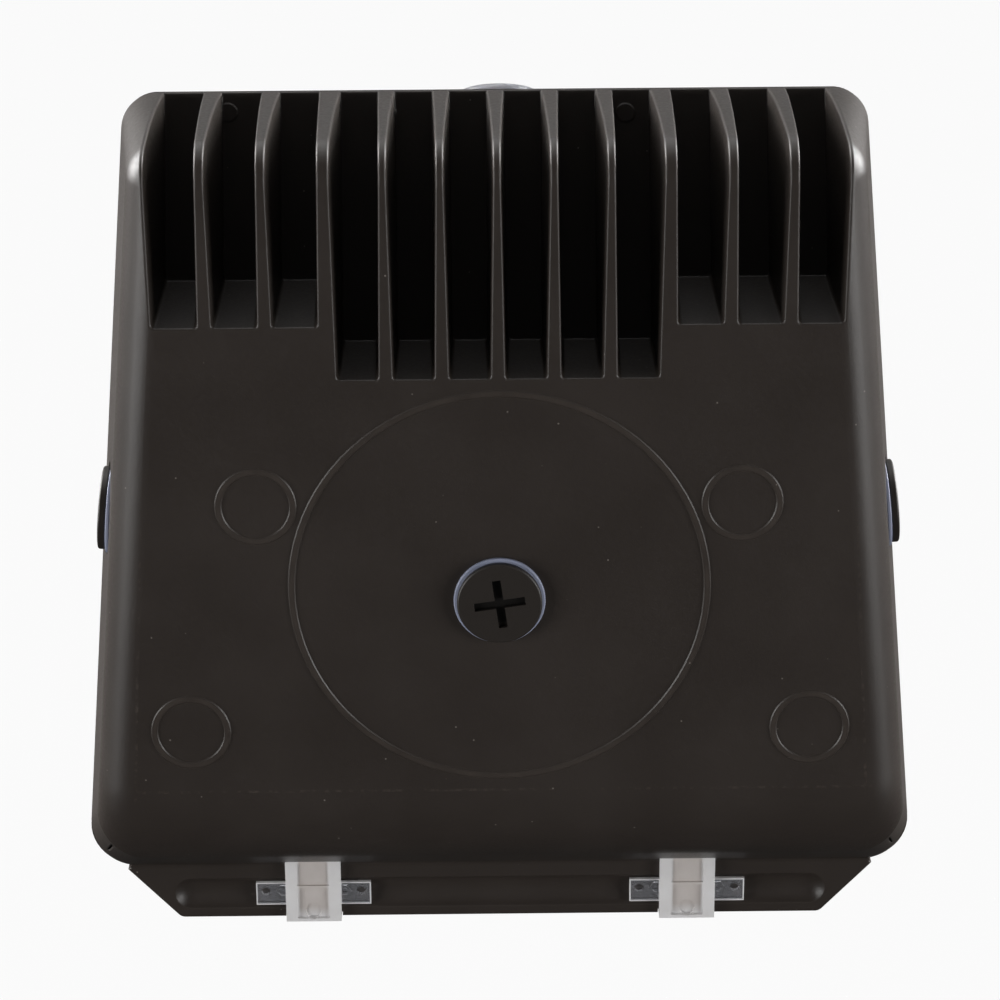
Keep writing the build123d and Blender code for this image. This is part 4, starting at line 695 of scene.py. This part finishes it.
overhead = add(tree, "ShaderNodeMapRange",
               {"Value": upwards, "From Min": overhead_fade[0], "From Max": overhead_fade[1],
                "To Min": 0.0, "To Max": overhead_strength})
off_camera = add(tree, "ShaderNodeMapRange",
                 {"Value": to_camera, "From Min": off_camera_fade[0],
                  "From Max": off_camera_fade[1], "To Min": 1.0, "To Max": 0.0})
overhead = add(tree, "ShaderNodeMath", {0: overhead, 1: off_camera}, operation="MULTIPLY")
beyond = add(tree, "ShaderNodeMapRange",
             {"Value": to_camera, "From Min": beyond_fade[0], "From Max": beyond_fade[1],
              "To Min": beyond_strength, "To Max": 0.0})
above_floor = add(tree, "ShaderNodeMapRange",
                  {"Value": upwards, "From Min": above_floor_fade[0],
                   "From Max": above_floor_fade[1]})
beyond = add(tree, "ShaderNodeMath", {0: beyond, 1: above_floor}, operation="MULTIPLY")
tent = add(tree, "ShaderNodeMath", {0: side_glow, 1: overhead}, operation="MAXIMUM")
tent = add(tree, "ShaderNodeMath", {0: tent, 1: beyond}, operation="MAXIMUM")
camera_ray = add(tree, "ShaderNodeLightPath", {}, "Is Camera Ray")
glossy_ray = add(tree, "ShaderNodeLightPath", {}, "Is Glossy Ray")
through_ray = add(tree, "ShaderNodeLightPath", {}, "Is Transmission Ray")
diffuse_ray = add(tree, "ShaderNodeLightPath", {}, "Is Diffuse Ray")
direct = add(tree, "ShaderNodeMath", {0: camera_ray, 1: through_ray}, operation="MAXIMUM")
reflected = add(tree, "ShaderNodeMath", {0: glossy_ray, 1: tent}, operation="MULTIPLY")
strength = add(tree, "ShaderNodeMath", {0: direct, 1: reflected}, operation="MAXIMUM")
from_front = add(tree, "ShaderNodeMapRange",
                 {"Value": to_camera, "From Min": front_fade[0], "From Max": front_fade[1],
                  "To Min": front_ambient_strength, "To Max": ambient_strength})
ambient = add(tree, "ShaderNodeMath", {0: diffuse_ray, 1: from_front}, operation="MULTIPLY")
ambient = add(tree, "ShaderNodeMath", {0: ambient, 1: ambient_strength}, operation="MAXIMUM")
strength = add(tree, "ShaderNodeMath", {0: strength, 1: ambient}, operation="MAXIMUM")
wire(tree, tree.nodes["Background"], {"Color": linear("#ffffff"), "Strength": strength})
bpy.context.scene.world = world

lamps = (   # name, place, size in metres, watts
    ("left_lamp", (1.51, 0.76, 0.06), 1.0, 18.5),
    ("right_lamp", (-1.51, 0.76, 0.06), 1.0, 18.0),
    ("front_lamp", (0.25, -1.0, 1.7), 1.2, 6.0),
)
target = Vector((0.0, -0.04, 0.0))
for name, spot, size, watts in lamps:
    light = bpy.data.lights.new(name, "AREA")
    light.shape, light.size, light.energy = "SQUARE", size, watts
    lamp = bpy.data.objects.new(name, light)
    lamp.location = spot
    lamp.rotation_euler = (target - Vector(spot)).to_track_quat("-Z", "Y").to_euler()
    bpy.context.collection.objects.link(lamp)

bpy.context.scene.view_settings.view_transform = "Standard"
